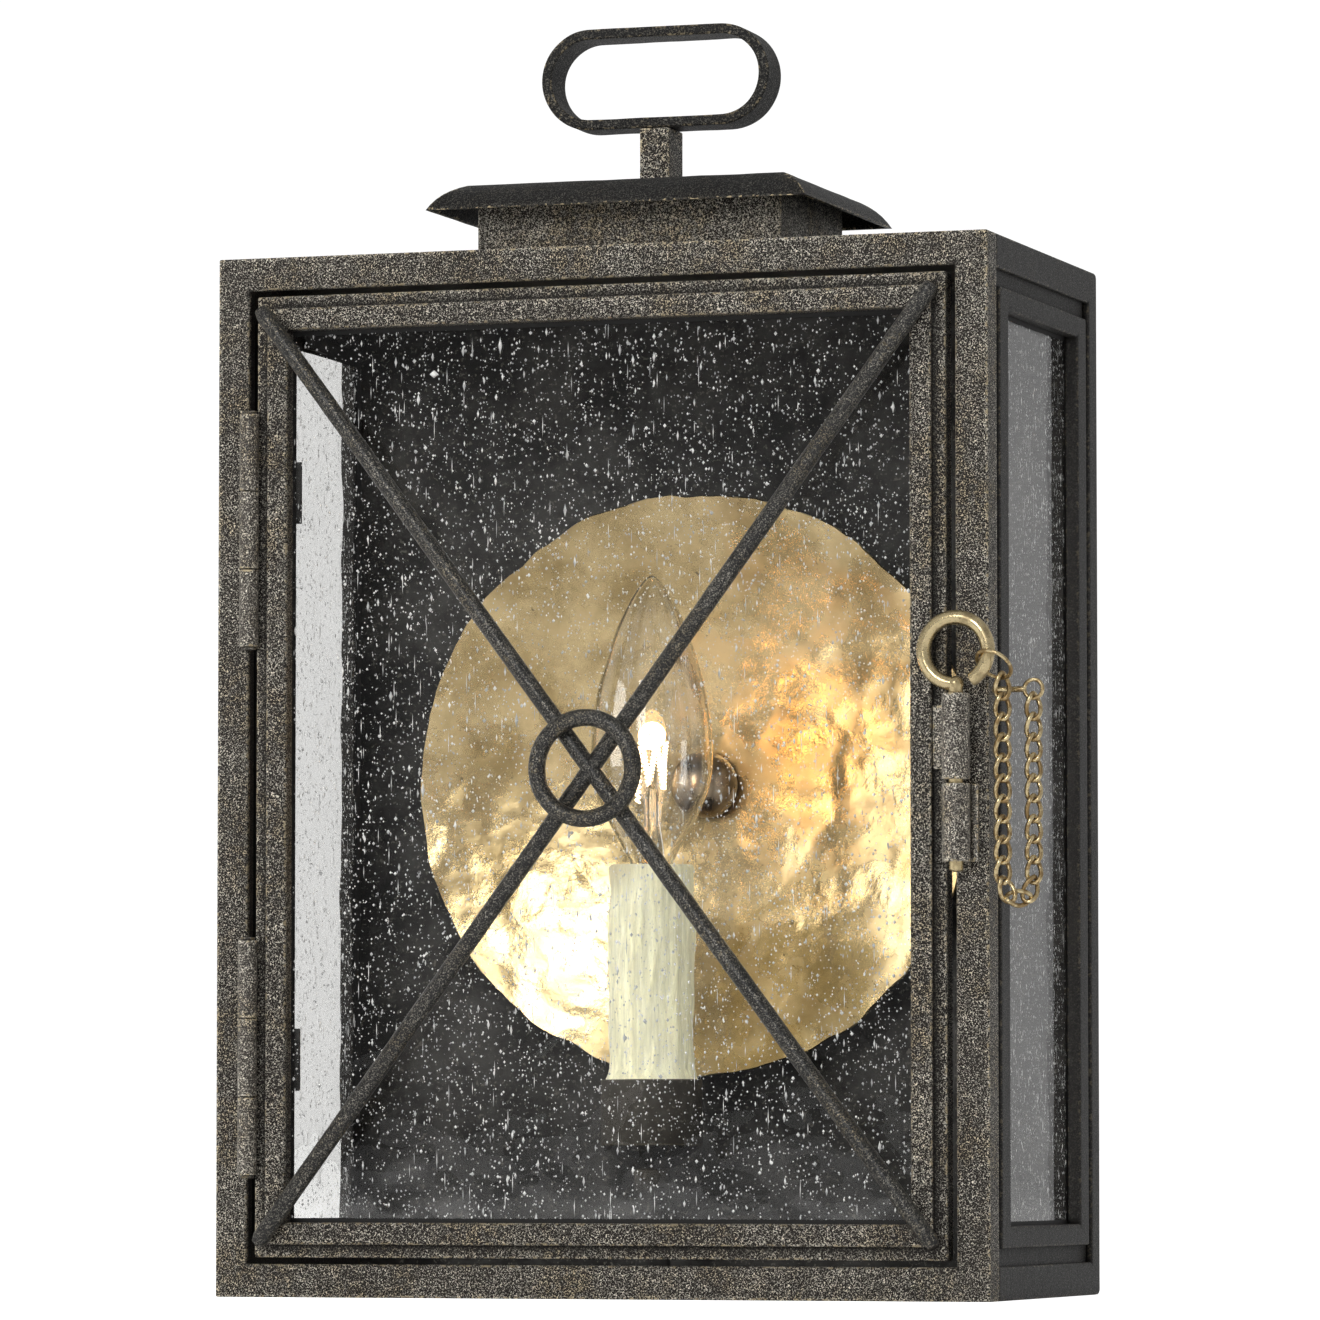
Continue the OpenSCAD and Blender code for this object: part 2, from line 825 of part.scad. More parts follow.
// Lampholder: a moulded tube that stands on the cup's floor, with the lamp's socket
module lampholder() {
    foot_z = cup_z + cup_foot_h;
    socket_l = cap_l + cap_room;
    lead_d = 5;
    color([0.08, 0.08, 0.08])
        difference() {
            translate([0, candle_y, foot_z])
                cylinder(h = holder_top - foot_z, d = holder_d);
            translate([0, candle_y, cap_top - socket_l])
                cylinder(h = socket_l + cut, d = cap_d + 2 * cap_fit);
            translate([0, candle_y, foot_z - cut])
                cylinder(h = holder_top - foot_z, d = lead_d);
        }
}

module lamp_cap() {
    tip_h = 3;
    tip_low = 0.4;
    tip_high = 0.8;
    color(old_brass())
        translate([0, candle_y, cap_top - cap_l]) {
            cylinder(h = tip_h, d1 = tip_low * cap_d, d2 = tip_high * cap_d);
            translate([0, 0, tip_h])
                cylinder(h = cap_l - tip_h, d = cap_d);
        }
}

// Radius of the lamp at a share of its height: a belly that runs out to a flame tip
function lamp_radius(u) =
    u < lamp_belly
        ? lamp_neck_r + (lamp_d / 2 - lamp_neck_r) * pow(sin(90 * u / lamp_belly), 1.3)
        : lamp_d / 2 * pow(cos(90 * (u - lamp_belly) / (1 - lamp_belly)), 0.64);

module lamp_envelope() {
    outer = [for (i = [0:lamp_steps]) [lamp_radius(i / lamp_steps), lamp_h * i / lamp_steps]];
    inner = [
        for (i = [lamp_steps:-1:0])
            [
                max(0, lamp_radius(i / lamp_steps) - lamp_t),
                min(lamp_h - 2 * lamp_t, lamp_h * i / lamp_steps)
            ]
    ];
    color([0.9, 0.9, 0.88, 0.3])
        translate([0, candle_y, cap_top])
            rotate_extrude($fn = 64)
                polygon(concat(outer, inner));
}

// Glass stem with two supports, a bar and a looped filament between them
module lamp_filament() {
    color([1, 0.85, 0.5])
        translate([0, candle_y, cap_top]) {
            cylinder(h = press_h, d1 = press_foot_d, d2 = press_top_d);
            translate([0, 0, press_h - support_sunk]) {
                for (side = [-1, 1])
                    translate([side * filament_r, 0, 0])
                        cylinder(h = support_h, r = filament_wire_r);
                translate([-filament_r - filament_wire_r, -filament_wire_r, 0])
                    cube([2 * (filament_r + filament_wire_r), 2 * filament_wire_r, 2 * filament_wire_r]);
            }
            translate([0, 0, press_h - support_sunk + support_h])
                rotate([90, 0, 0])
                    rotate_extrude(angle = 180)
                        translate([filament_r, 0])
                            circle(r = filament_wire_r, $fn = 16);
        }
}

// One knuckle of a hinge, without its bore
module hinge_knuckle(z1) {
    translate([hinge_x, hinge_y, z1])
        cylinder(h = knuckle_l, d = hinge_d);
}

// Half of a hinge: its leaf against a side of the gap and its own knuckles.
// The leaf is cut back behind the other half's knuckles.
module hinge_half(mid_z, own, other, leaf_x) {
    low_z = mid_z - hinge_l / 2;
    step = knuckle_l + knuckle_gap;
    difference() {
        union() {
            for (k = own)
                hinge_knuckle(low_z + k * step);
            span([leaf_x, hinge_y, low_z], [leaf_x + leaf_t, hinge_y + leaf_d, low_z + hinge_l]);
        }
        for (k = other)
            span(
                [hinge_x - hinge_d, hinge_y - hinge_d, low_z + k * step - knuckle_gap],
                [
                    hinge_x + hinge_d,
                    hinge_y + hinge_d / 2 + leaf_relief,
                    low_z + k * step + knuckle_l + knuckle_gap
                ]
            );
        translate([hinge_x, hinge_y, low_z - cut])
            cylinder(h = hinge_l + 2 * cut, d = hinge_pin_d + 2 * hinge_fit);
    }
}

module frame_hinge_leaves() {
    color(bronze())
        for (z = hinge_zs)
            hinge_half(z, [0, 2], [1], -(half_w - bar_w));
}

module door_hinge_leaves() {
    color(bronze())
        for (z = hinge_zs)
            hinge_half(z, [1], [0, 2], -door_half_w - leaf_t);
}

module hinge_pins() {
    head_gap = 0.1;
    color(bronze())
        for (z = hinge_zs)
            translate([hinge_x, hinge_y, z - hinge_l / 2 - head_gap]) {
                cylinder(h = hinge_l + 2 * head_gap, d = hinge_pin_d);
                translate([0, 0, -pin_head_h])
                    cylinder(h = pin_head_h, d = pin_head_d);
                translate([0, 0, hinge_l + 2 * head_gap])
                    cylinder(h = pin_head_h, d = pin_head_d);
            }
}

// A latch barrel with its leaf, bored for the ring pin
module latch_barrel(z1, length, leaf_from, leaf_to, leaf_y, leaf_inset) {
    difference() {
        union() {
            translate([latch_x, latch_y, z1])
                cylinder(h = length, d = latch_d);
            span(
                [leaf_from, leaf_y - latch_leaf_t, z1 + leaf_inset],
                [leaf_to, leaf_y, z1 + length - leaf_inset]
            );
        }
        translate([latch_x, latch_y, z1 - cut])
            cylinder(h = length + 2 * cut, d = pin_d + 2 * pin_fit);
    }
}

module frame_latch_barrel() {
    leaf_past = 5.3;
    color(bronze())
        latch_barrel(
            frame_barrel_z, frame_barrel_l, latch_x - leaf_under, latch_x + leaf_past, front_y, 0
        );
}

module door_latch_barrel() {
    leaf_inset = 3;
    bar_gap = 0.1;
    color(bronze())
        latch_barrel(
            door_barrel_z, door_barrel_l, bar_half_w + bar_gap, latch_x + leaf_under, door_front_y,
            leaf_inset
        );
}

// Straight pin whose upper end is bent round into an open eye
module ring_pin() {
    tip_chamfer = 0.6;
    color(old_brass()) {
        translate([latch_x, latch_y, pin_bottom_z + tip_chamfer])
            cylinder(h = eye_z - eye_r - pin_bottom_z - tip_chamfer, d = pin_d);
        translate([latch_x, latch_y, pin_bottom_z])
            cylinder(h = tip_chamfer, d1 = pin_d - 2 * tip_chamfer, d2 = pin_d);
        translate([latch_x, latch_y, eye_z - eye_r])
            sphere(r = eye_root_r);
        translate([latch_x, latch_y, eye_z])
            rotate([90, 0, 0])
                rotate([0, 0, -90 + eye_cut])
                    rotate_extrude(angle = 360 - eye_cut, $fn = 72)
                        translate([eye_r, 0])
                            circle(d = pin_d, $fn = 32);
    }
}

module pin_jump_ring() {
    color(old_brass())
        translate([jump_x, latch_y, jump_z])
            rotate([0, -jump_angle, 0])
                rotate([-jump_turn, 0, 0])
                    rotate_extrude()
                        translate([jump_r, 0])
                            circle(d = chain_wire_d, $fn = 20);
}

// Wire eye on a straight shank that is set in the side of the front post
module chain_eyelet() {
    color(old_brass()) {
        translate([half_w, eyelet_y, eyelet_z])
            rotate([0, 90, 0])
                cylinder(h = eyelet_x - half_w - eyelet_r, d = eyelet_wire_d);
        translate([eyelet_x, eyelet_y, eyelet_z])
            rotate([90, 0, 0])
                rotate_extrude()
                    translate([eyelet_r, 0])
                        circle(d = chain_wire_d, $fn = 20);
    }
}

// One link of the chain: two round ends and two straight sides, long along Z
module chain_link() {
    mean_r = (link_w + chain_wire_d) / 2;
    side_l = link_l - link_w;
    for (end = [0, 1])
        mirror([0, 0, end])
            translate([0, 0, side_l / 2])
                rotate([90, 0, 0])
                    rotate_extrude(angle = 180, $fn = 24)
                        translate([mean_r, 0])
                            circle(d = chain_wire_d, $fn = 16);
    for (side = [-1, 1])
        translate([side * mean_r, 0, -side_l / 2])
            cylinder(h = side_l, d = chain_wire_d, $fn = 16);
}

// Point along the chain's route, in the plane of its two strands: across and up
function chain_point(s) =
    s < fall_l
        ? [0, chain_start[2] - s]
        : s < fall_l + bend_l
            ? let (turn = 180 * (s - fall_l) / bend_l)
                [chain_bend_r * (1 - cos(turn)), chain_bend_z - chain_bend_r * sin(turn)]
            : [2 * chain_bend_r, chain_bend_z + s - fall_l - bend_l];

// Links from one joint of the chain to the next, turned by turns to either side
module chain_run(first, last) {
    for (i = [first:last]) {
        from = chain_point(i * link_pitch);
        to = chain_point((i + 1) * link_pitch);
        middle = (from + to) / 2;
        translate([chain_start[0], chain_start[1], 0])
            rotate([0, 0, chain_heading])
                translate([middle[0], 0, middle[1]])
                    rotate([0, atan2(from[0] - to[0], from[1] - to[1]), 0])
                        rotate([0, 0, i % 2 == 0 ? 45 : -45])
                            chain_link();
    }
}

module chain_frame_side() {
    color(old_brass())
        chain_run(fall_links, chain_links - 1);
}

module chain_pin_side() {
    color(old_brass())
        chain_run(0, fall_links - 1);
}

// Door frame: a flat flange with a lip at its edge, and a raised bar round the pane
module door_frame() {
    color(bronze()) {
        front_ring(
            [door_half_w, door_half_h],
            [door_sight_w, door_sight_h],
            door_front_y,
            door_front_y + door_flange_t
        );
        front_ring([bar_half_w, bar_half_h], [door_sight_w, door_sight_h], bar_front_y, bar_rear_y);
        front_ring(
            [door_half_w, door_half_h],
            [door_half_w - door_lip_t, door_half_h - door_lip_t],
            door_front_y,
            door_front_y + door_lip_d
        );
    }
}

module door_glass() {
    color([0.75, 0.78, 0.76, 0.35])
        span(
            [-door_sight_w - glass_lap, bar_rear_y, -door_sight_h - glass_lap],
            [door_sight_w + glass_lap, pane_rear_y, door_sight_h + glass_lap]
        );
}

// Clips behind the pane, two on each side
module door_glass_clips() {
    leg_x = door_sight_w + glass_lap + door_clip_gap;
    color([0.06, 0.06, 0.06])
        for (side = [0, 1])
            for (z = [-clip_z, clip_z])
                mirror([side, 0, 0])
                    translate([0, 0, z - clip_l / 2])
                        linear_extrude(height = clip_l)
                            polygon([
                                [door_sight_w - clip_show, pane_rear_y],
                                [leg_x, pane_rear_y],
                                [leg_x, bar_rear_y],
                                [bar_half_w, bar_rear_y],
                                [bar_half_w, pane_rear_y + clip_t],
                                [door_sight_w - clip_show, pane_rear_y + clip_t]
                            ]);
}

// A rod from corner to corner of the door, halved where the other one crosses it.
// keep is -1 for the rod whose front half runs through and 1 for the other.
module cross_rod(tilt, keep) {
    color(bronze())
        difference() {
            translate([0, rod_y, 0])
                rotate([0, tilt, 0])
                    translate([-rod_length / 2, 0, 0])
                        rotate([0, 90, 0])
                            cylinder(h = rod_length, d = rod_d);
            translate([0, rod_y, 0])
                rotate([0, -tilt, 0])
                    translate([-rod_length / 2, keep * (rod_d / 2 + cut) - rod_d / 2 - cut, 0])
                        translate([0, -keep * lap_gap / 2, -rod_d / 2 - lap_gap])
                            cube([rod_length, rod_d + 2 * cut, rod_d + 2 * lap_gap]);
        }
}

module front_cross_rod() {
    cross_rod(rod_angle, 1);
}

module rear_cross_rod() {
    cross_rod(-rod_angle, -1);
}

module centre_ring() {
    color(bronze())
        translate([0, ring_y, 0])
            rotate([90, 0, 0])
                rotate_extrude($fn = 72)
                    translate([(ring_d - ring_bar_d) / 2, 0])
                        circle(d = ring_bar_d, $fn = 32);
}

front_frame();
left_side_frame();
right_side_frame();
top_plate();
bottom_plate();
back_pan();
left_window_frame();
right_window_frame();
left_window_glass();
right_window_glass();
window_glass_clips();
roof_riser();
roof_plate();
handle_stem();
handle_loop();
reflector_disc();
reflector_washer();
dome_nut();
threaded_nipple();
wall_crossbar();
nipple_lock_nut();
ground_screw();
wire_bushing();
candle_stem();
candle_cup();
candle_sleeve();
lampholder();
lamp_cap();
lamp_envelope();
lamp_filament();
frame_hinge_leaves();
hinge_pins();
frame_latch_barrel();
chain_eyelet();
chain_frame_side();
chain_pin_side();
door_frame();
door_glass();
door_glass_clips();
front_cross_rod();
rear_cross_rod();
centre_ring();
door_hinge_leaves();
door_latch_barrel();
ring_pin();
pin_jump_ring();
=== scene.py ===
"""Outdoor wall lantern: the looks, built round the packed CAD frame.

Every length is in metres, in the CAD's own frame: X to the right of the door, Y to the wall, Z up.
"""

import json
import math

import bmesh
import bpy
import numpy as np
from bpy.props import FloatProperty, FloatVectorProperty, IntProperty, PointerProperty
from mathutils import Matrix, Vector, noise


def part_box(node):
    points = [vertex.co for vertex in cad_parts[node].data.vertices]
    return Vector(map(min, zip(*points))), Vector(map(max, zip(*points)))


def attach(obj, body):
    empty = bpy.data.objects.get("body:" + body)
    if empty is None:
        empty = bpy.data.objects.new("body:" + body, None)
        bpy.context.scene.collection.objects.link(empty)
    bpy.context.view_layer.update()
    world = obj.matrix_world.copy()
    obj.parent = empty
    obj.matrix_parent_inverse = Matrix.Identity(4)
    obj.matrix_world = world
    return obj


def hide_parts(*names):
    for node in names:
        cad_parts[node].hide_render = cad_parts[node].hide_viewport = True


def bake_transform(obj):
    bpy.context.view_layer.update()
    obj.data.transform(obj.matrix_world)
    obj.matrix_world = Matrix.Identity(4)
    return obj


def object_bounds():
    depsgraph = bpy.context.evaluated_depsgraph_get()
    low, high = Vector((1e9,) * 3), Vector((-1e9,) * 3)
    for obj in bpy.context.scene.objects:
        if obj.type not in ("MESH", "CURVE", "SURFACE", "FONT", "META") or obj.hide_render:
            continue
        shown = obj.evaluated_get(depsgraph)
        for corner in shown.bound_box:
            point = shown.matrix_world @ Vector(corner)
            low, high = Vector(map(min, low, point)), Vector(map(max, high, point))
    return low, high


bl_info = {
    "name": "Outdoor wall lantern",
    "version": (1, 0, 0),
    "blender": (4, 5, 0),
    "location": "View3D > Sidebar > Lantern",
    "description": "Finishes a wall lantern with seeded glass, a hammered reflector and a chained pin",
    "category": "Object",
}

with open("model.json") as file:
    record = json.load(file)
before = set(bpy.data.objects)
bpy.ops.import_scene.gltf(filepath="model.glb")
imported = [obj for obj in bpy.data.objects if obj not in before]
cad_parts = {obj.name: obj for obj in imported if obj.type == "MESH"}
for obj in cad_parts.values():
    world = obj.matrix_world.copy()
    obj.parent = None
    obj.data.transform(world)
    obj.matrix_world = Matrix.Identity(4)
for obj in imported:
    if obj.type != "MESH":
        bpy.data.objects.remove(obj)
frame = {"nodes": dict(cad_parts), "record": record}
CAD_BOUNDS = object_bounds()
SLOTS = {row["node"]: row["material_slot"] for row in frame["record"]["subparts"]}
BODIES = {node: body for body, nodes in frame["record"]["behaviour"]["bodies"].items() for node in nodes}

# An edge that turns more than this is rounded and wears. Past the second angle it is shaded as an edge.
SHARP = math.radians(25)
SMOOTH_LIMIT = math.radians(38)
# The top of the box, and the radius of its rear corners as seen from the side.
BOX_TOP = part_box("front_frame")[1].z
REAR_ROUND = 0.003
# Width of the painted shade round a pane's edge, a dark border at its sides and at its top and bottom.
PANE_SHADE_BORDERS = (0.0037, 0.0047)
# The direction in which the brass and the glass reflect a dark doorway.
DARK_DOORWAY = (-0.30, -0.95, 0.10)
# Points nearer than this are one point.
WELD = 2e-6
# Distance between the hammer marks on the roof and the handle.
HAMMER_SPACING = 0.009
# Bubbles in the glass: shares that are drawn out or are long streaks, and the sizes of the odd ones.
DRAWN_OUT_SHARE = 0.13
STREAK_SHARE = 0.018
BLISTER_WIDTH = 0.0027
THICKEST_SEED = 0.0009
SEED_MARGIN = 0.003


def colour(name, text, default):
    """A colour that a user can pick."""
    return FloatVectorProperty(name=name, description=text, default=default, subtype="COLOR", min=0, max=1)


def length(name, text, default):
    """A length that a user can set, in metres."""
    return FloatProperty(
        name=name, description=text, default=default, min=0, subtype="DISTANCE", unit="LENGTH"
    )


def amount(name, text, default, unit="NONE"):
    """A strength or a power that a user can set."""
    return FloatProperty(name=name, description=text, default=default, min=0, unit=unit)


def quantity(name, text, default):
    """A number of pieces that a user can set."""
    return IntProperty(name=name, description=text, default=default, min=0)


class LanternMetal(bpy.types.PropertyGroup):
    """Paint and patina of the metal parts."""

    bronze: colour("Bronze", "Ground colour of the frame's paint", (0.019, 0.0158, 0.0130))
    # A real fleck, whose pale colour is also a painted glint.
    speckle: colour("Speckle", "Pale speckle rubbed through the paint", (1.0, 0.94, 0.80))
    worn: colour("Worn edge", "Bare metal where an edge is rubbed", (0.55, 0.45, 0.28))
    inner: colour("Inner paint", "Dark paint of the plates and fittings", (0.033, 0.032, 0.0305))
    brass: colour("Brass", "Bright brass of the pin and its chain", (0.68, 0.555, 0.32))
    tarnish: colour("Tarnish", "Brown in the brass's hollows", (0.10, 0.062, 0.028))
    speckle_size: length("Speckle size", "Size of one speckle", 0.00040)
    edge_round: length("Edge rounding", "Radius of the rounded edges", 0.0005)
    wear_reach: length("Wear reach", "How far the rubbing reaches from an edge", 0.0016)


class LanternGlass(bpy.types.PropertyGroup):
    """Seeded window glass."""

    wave_depth: length("Wave depth", "Unevenness of each face of a pane", 0.00011)
    wave_length: length("Wave length", "Distance between two waves", 0.012)
    seed_size: length("Seed size", "Usual diameter of a bubble in the glass", 0.00040)
    door_seeds: quantity("Door seeds", "Bubbles in the door's pane", 17000)
    side_seeds: quantity("Side seeds", "Bubbles in each side pane", 8000)


class LanternReflector(bpy.types.PropertyGroup):
    """Hammered reflector behind the lamp."""

    face: colour("Face", "Polished brass of the reflector", (0.74, 0.58, 0.32))
    dimple_depth: length("Dimple depth", "Depth of the hammer marks", 0.0006)
    dimple_size: length("Dimple size", "Distance between hammer marks", 0.013)
    rim_cut: length("Rim cut", "Unevenness of the hand-cut rim", 0.0024)


class LanternLamp(bpy.types.PropertyGroup):
    """Candle and lamp."""

    wax: colour("Wax", "Colour of the candle sleeve", (0.97, 0.93, 0.64))
    glow: colour("Glow", "Colour of the lamp's light", (1.0, 0.54, 0.21))
    power: amount("Power", "Light of the lamp", 0.008, "POWER")
    filament: amount("Filament", "Brightness of the filament", 9)


class LanternStage(bpy.types.PropertyGroup):
    """Floor, lights and camera."""

    floor: colour("Floor", "Colour of the floor", (0.97, 0.97, 0.97))
    back: amount("White wall", "Light of the white wall behind", 0.42)
    room: amount("Room", "Light of the dim room in front", 0.40)
    key: amount("Key", "Soft light high in front", 16.5, "POWER")
    side: amount("Side", "Large soft light, left", 30, "POWER")
    warm: amount("Warm", "Small golden light, left", 0.055, "POWER")
    fill: amount("Fill", "Weaker light, right", 3, "POWER")
    top: amount("Top", "Light from above", 10, "POWER")
    lens: FloatProperty(
        name="Lens", description="Focal length of the camera", default=205.4, min=1, unit="CAMERA"
    )


class Nodes:
    """Short calls for the nodes of one material or of the world."""

    def __init__(self, tree):
        self.tree = tree
        tree.nodes.clear()

    def new(self, kind, **settings):
        """A node of that kind."""
        node = self.tree.nodes.new("ShaderNode" + kind)
        for name, value in settings.items():
            setattr(node, name, value)
        return node

    def put(self, socket, value):
        """Feeds a socket from another one, or gives it a plain value."""
        if isinstance(value, bpy.types.NodeSocket):
            self.tree.links.new(value, socket)
        elif isinstance(socket.default_value, (int, float)):
            socket.default_value = value
        else:
            socket.default_value = (*value, 1)[: len(socket.default_value)]

    def sum(self, kind, a, b):
        """One step of arithmetic."""
        node = self.new("Math", operation=kind)
        for socket, value in zip(node.inputs, (a, b)):
            self.put(socket, value)
        return node.outputs[0]

    def plus(self, a, b):
        """Both values together."""
        return self.sum("ADD", a, b)

    def minus(self, a, b):
        """What is left of the first value."""
        return self.sum("SUBTRACT", a, b)

    def times(self, a, b):
        """One value times the other."""
        return self.sum("MULTIPLY", a, b)

    def ramp(self, value, low, high, to_low=0.0, to_high=1.0):
        """Spreads a stretch of values smoothly over another."""
        node = self.new("MapRange", interpolation_type="SMOOTHSTEP")
        for socket, level in zip(node.inputs, (value, low, high, to_low, to_high)):
            self.put(socket, level)
        return node.outputs[0]

    def seen_directly(self):
        """1 where the eye sees a thing straight or through glass, 0 where only light from it counts."""
        path = self.new("LightPath")
        bounces = self.plus(path.outputs["Diffuse Depth"], path.outputs["Glossy Depth"])
        return self.sum("LESS_THAN", bounces, 0.5)

    def either(self, share, a, b):
        """One shader, or the other where the share is 1."""
        node = self.new("MixShader")
        for socket, value in zip(node.inputs, (share, a, b)):
            self.put(socket, value)
        return node.outputs[0]


class Finish(Nodes):
    """One material, with short calls for the nodes that paint it."""

    def __init__(self, name):
        self.material = bpy.data.materials.new(name)
        self.material.use_nodes = True
        super().__init__(self.material.node_tree)
        self.output = self.new("OutputMaterial")
        self.surface = self.new("BsdfPrincipled")
        self.put(self.output.inputs["Surface"], self.surface.outputs[0])
        self.place = self.new("TexCoord").outputs["Object"]

    def surface_is(self, **values):
        """Sets the shader's sockets, named with underlines for spaces."""
        for name, value in values.items():
            self.put(self.surface.inputs[name.replace("_", " ")], value)
        return self.material

    def stretched(self, scale):
        """Object coordinates, scaled along each axis."""
        node = self.new("Mapping")
        self.put(node.inputs["Vector"], self.place)
        node.inputs["Scale"].default_value = scale
        return node.outputs[0]

    def noise(self, size, detail=2.0, rough=0.5, place=None, twist=0.0):
        """Soft noise with features of about that size."""
        node = self.new("TexNoise")
        self.put(node.inputs["Vector"], place or self.place)
        node.inputs["Scale"].default_value = 1 / size
        node.inputs["Detail"].default_value = detail
        node.inputs["Roughness"].default_value = rough
        node.inputs["Distortion"].default_value = twist
        return node.outputs["Fac"]

    def cells(self, size, smooth):
        """Distance to the middle of round cells of about that size."""
        node = self.new("TexVoronoi", feature="SMOOTH_F1")
        self.put(node.inputs["Vector"], self.place)
        node.inputs["Scale"].default_value = 1 / size
        node.inputs["Smoothness"].default_value = smooth
        return node.outputs["Distance"]

    def mix(self, share, a, b):
        """Mixes two colours."""
        node = self.new("Mix", data_type="RGBA")
        colour_a, colour_b, mixed = node.inputs[6], node.inputs[7], node.outputs[2]
        for socket, value in zip((node.inputs[0], colour_a, colour_b), (share, a, b)):
            self.put(socket, value)
        return mixed

    def stored(self, name):
        """A value stored on the piece's points."""
        return self.new("Attribute", attribute_name=name).outputs["Fac"]

    def relief(self, height, depth, under=None):
        """Bumps of that depth, on top of others if there are any."""
        node = self.new("Bump")
        node.inputs["Distance"].default_value = depth
        self.put(node.inputs["Height"], height)
        if under is not None:
            self.put(node.inputs["Normal"], under)
        return node.outputs[0]

    def lets_light_through(self):
        """Shadows fall through the glass, so that light reaches what is behind it."""
        through = self.new("BsdfTransparent").outputs[0]
        is_shadow = self.new("LightPath").outputs["Is Shadow Ray"]
        self.put(self.output.inputs["Surface"], self.either(is_shadow, self.surface.outputs[0], through))
        return self.material


FINISHES = {}


def finish(name):
    """The material of that name, made when it is first asked for."""
    if name not in FINISHES:
        FINISHES[name] = MAKERS[name](Finish(name))
    return FINISHES[name]


def toned(tone, *shares):
    """A colour times one share, or times a share for each of its channels."""
    return [channel * share for channel, share in zip(tone, shares * 3)]


def bronze_paint(f, speckled=1.0, ground=None, gold=1.0, grainy=1.0, dense=0.0, gloss=0.0):
    """Dark textured bronze with a fine pale speckle, rubbed edges and painted shade in its inner corners.
    The speckle is a real fleck, painted as bright as the glints it would catch.
    """
    metal = bpy.context.scene.lantern_metal
    ground = ground or metal.bronze
    cloud = f.noise(0.035, 3, 0.6)
    grain = f.noise(metal.speckle_size, 2, 0.6, twist=0.8)
    patch = f.noise(0.011, 2, 0.6)
    wide = f.noise(0.05, 2, 0.55)
    edge = f.stored("wear")
    start = f.minus(0.600 - dense, f.times(patch, 0.035))
    start = f.minus(start, f.times(wide, 0.05))
    start = f.minus(start, f.times(edge, 0.04 * gold))
    mark = f.ramp(grain, start, f.plus(start, 0.042))
    pits = f.plus(f.times(f.ramp(grain, 0.36, 0.52), 0.75), f.times(f.ramp(cloud, 0.3, 0.7), 0.25))
    under = f.mix(pits, toned(ground, 0.6), toned(ground, 1.5))
    golden = f.ramp(f.noise(0.016, 2), 0.42, 0.66)
    # Painted highlight: the pale speckle is the paint's fleck, painted as bright as its glints.
    pale = f.mix(f.times(golden, 0.7), metal.speckle, toned(metal.speckle, 0.80, 0.68, 0.46))
    pale = f.mix(f.ramp(f.noise(0.0021, 1), 0.36, 0.56), toned(metal.speckle, 0.6), pale)
    paint = f.mix(f.times(mark, speckled), under, pale)
    broken = f.ramp(f.noise(0.0016, 3, 0.7), 0.40, 0.66, 0, 1.1)
    rub = f.ramp(f.times(edge, broken), 0.45, 0.8)
    paint = f.mix(f.times(rub, 0.75 * gold), paint, metal.worn)
    # Painted shade: the paint darkens towards the inner corners, where shade would fall.
    painted_corner_shade = f.ramp(f.stored("corner_shade"), 0.1, 0.9, 0, 0.85)
    paint = f.mix(painted_corner_shade, paint, toned(metal.bronze, 0.4))
    height = f.plus(f.times(mark, 0.5 * grainy), f.noise(0.0011, 3, 0.6))
    bumps = f.relief(f.noise(0.006, 2), 0.0003, f.relief(height, 0.00025 * grainy))
    rough = f.ramp(f.plus(mark, rub), 0, 1, 0.55 - gloss, 0.36 - gloss / 2)
    return f.surface_is(
        Base_Color=paint, Metallic=0.15, Roughness=rough, Normal=bumps, Specular_IOR_Level=0.3 + gloss
    )


NEAR_BLACK = (0.008, 0.0078, 0.0076)


def roof_bronze(f):
    """The darker bronze of the roof, with little speckle and bright edges: worn metal, strengthened into a
    painted highlight along them.
    """
    return bronze_paint(f, speckled=0.10, ground=NEAR_BLACK, gold=2.2, grainy=0.9)


def loop_bronze(f):
    """The same dark bronze on the handle's loop, hardly rubbed."""
    return bronze_paint(f, speckled=0.14, ground=NEAR_BLACK, gold=0.55, grainy=0.9)


def hinge_bronze(f):
    """Barrels of the hinges and the latch, paler than the frame: rubbed by the door's movement, and painted
    lighter so that the round barrels stand out as if lit.
    """
    # Painted light as well as wear: the paler ground and the denser speckle.
    return bronze_paint(f, ground=(0.034, 0.028, 0.022), gold=1.2, dense=0.012, gloss=0.26)


def lit_riser_bronze(f):
    """Painted light: the riser under the roof, painted lighter and more speckled than the rest, as if lit
    under the roof.
    """
    return bronze_paint(f, ground=(0.030, 0.025, 0.020), dense=0.025)


def rod_bronze(f):
    """Forged bars: dark and slightly glossy, with a thin speckle."""
    return bronze_paint(f, speckled=0.34, ground=(0.008, 0.0076, 0.0072), gold=0.4, grainy=0.9, gloss=0.26)


def shaded_side_bronze(f):
    """Painted shade: the frame's bronze as it looks on the darker sides, greyer and smoother, its speckle
    hardly catching light.
    """
    return bronze_paint(f, speckled=0.07, ground=(0.025, 0.0243, 0.0238), gold=0.3, grainy=0.6)


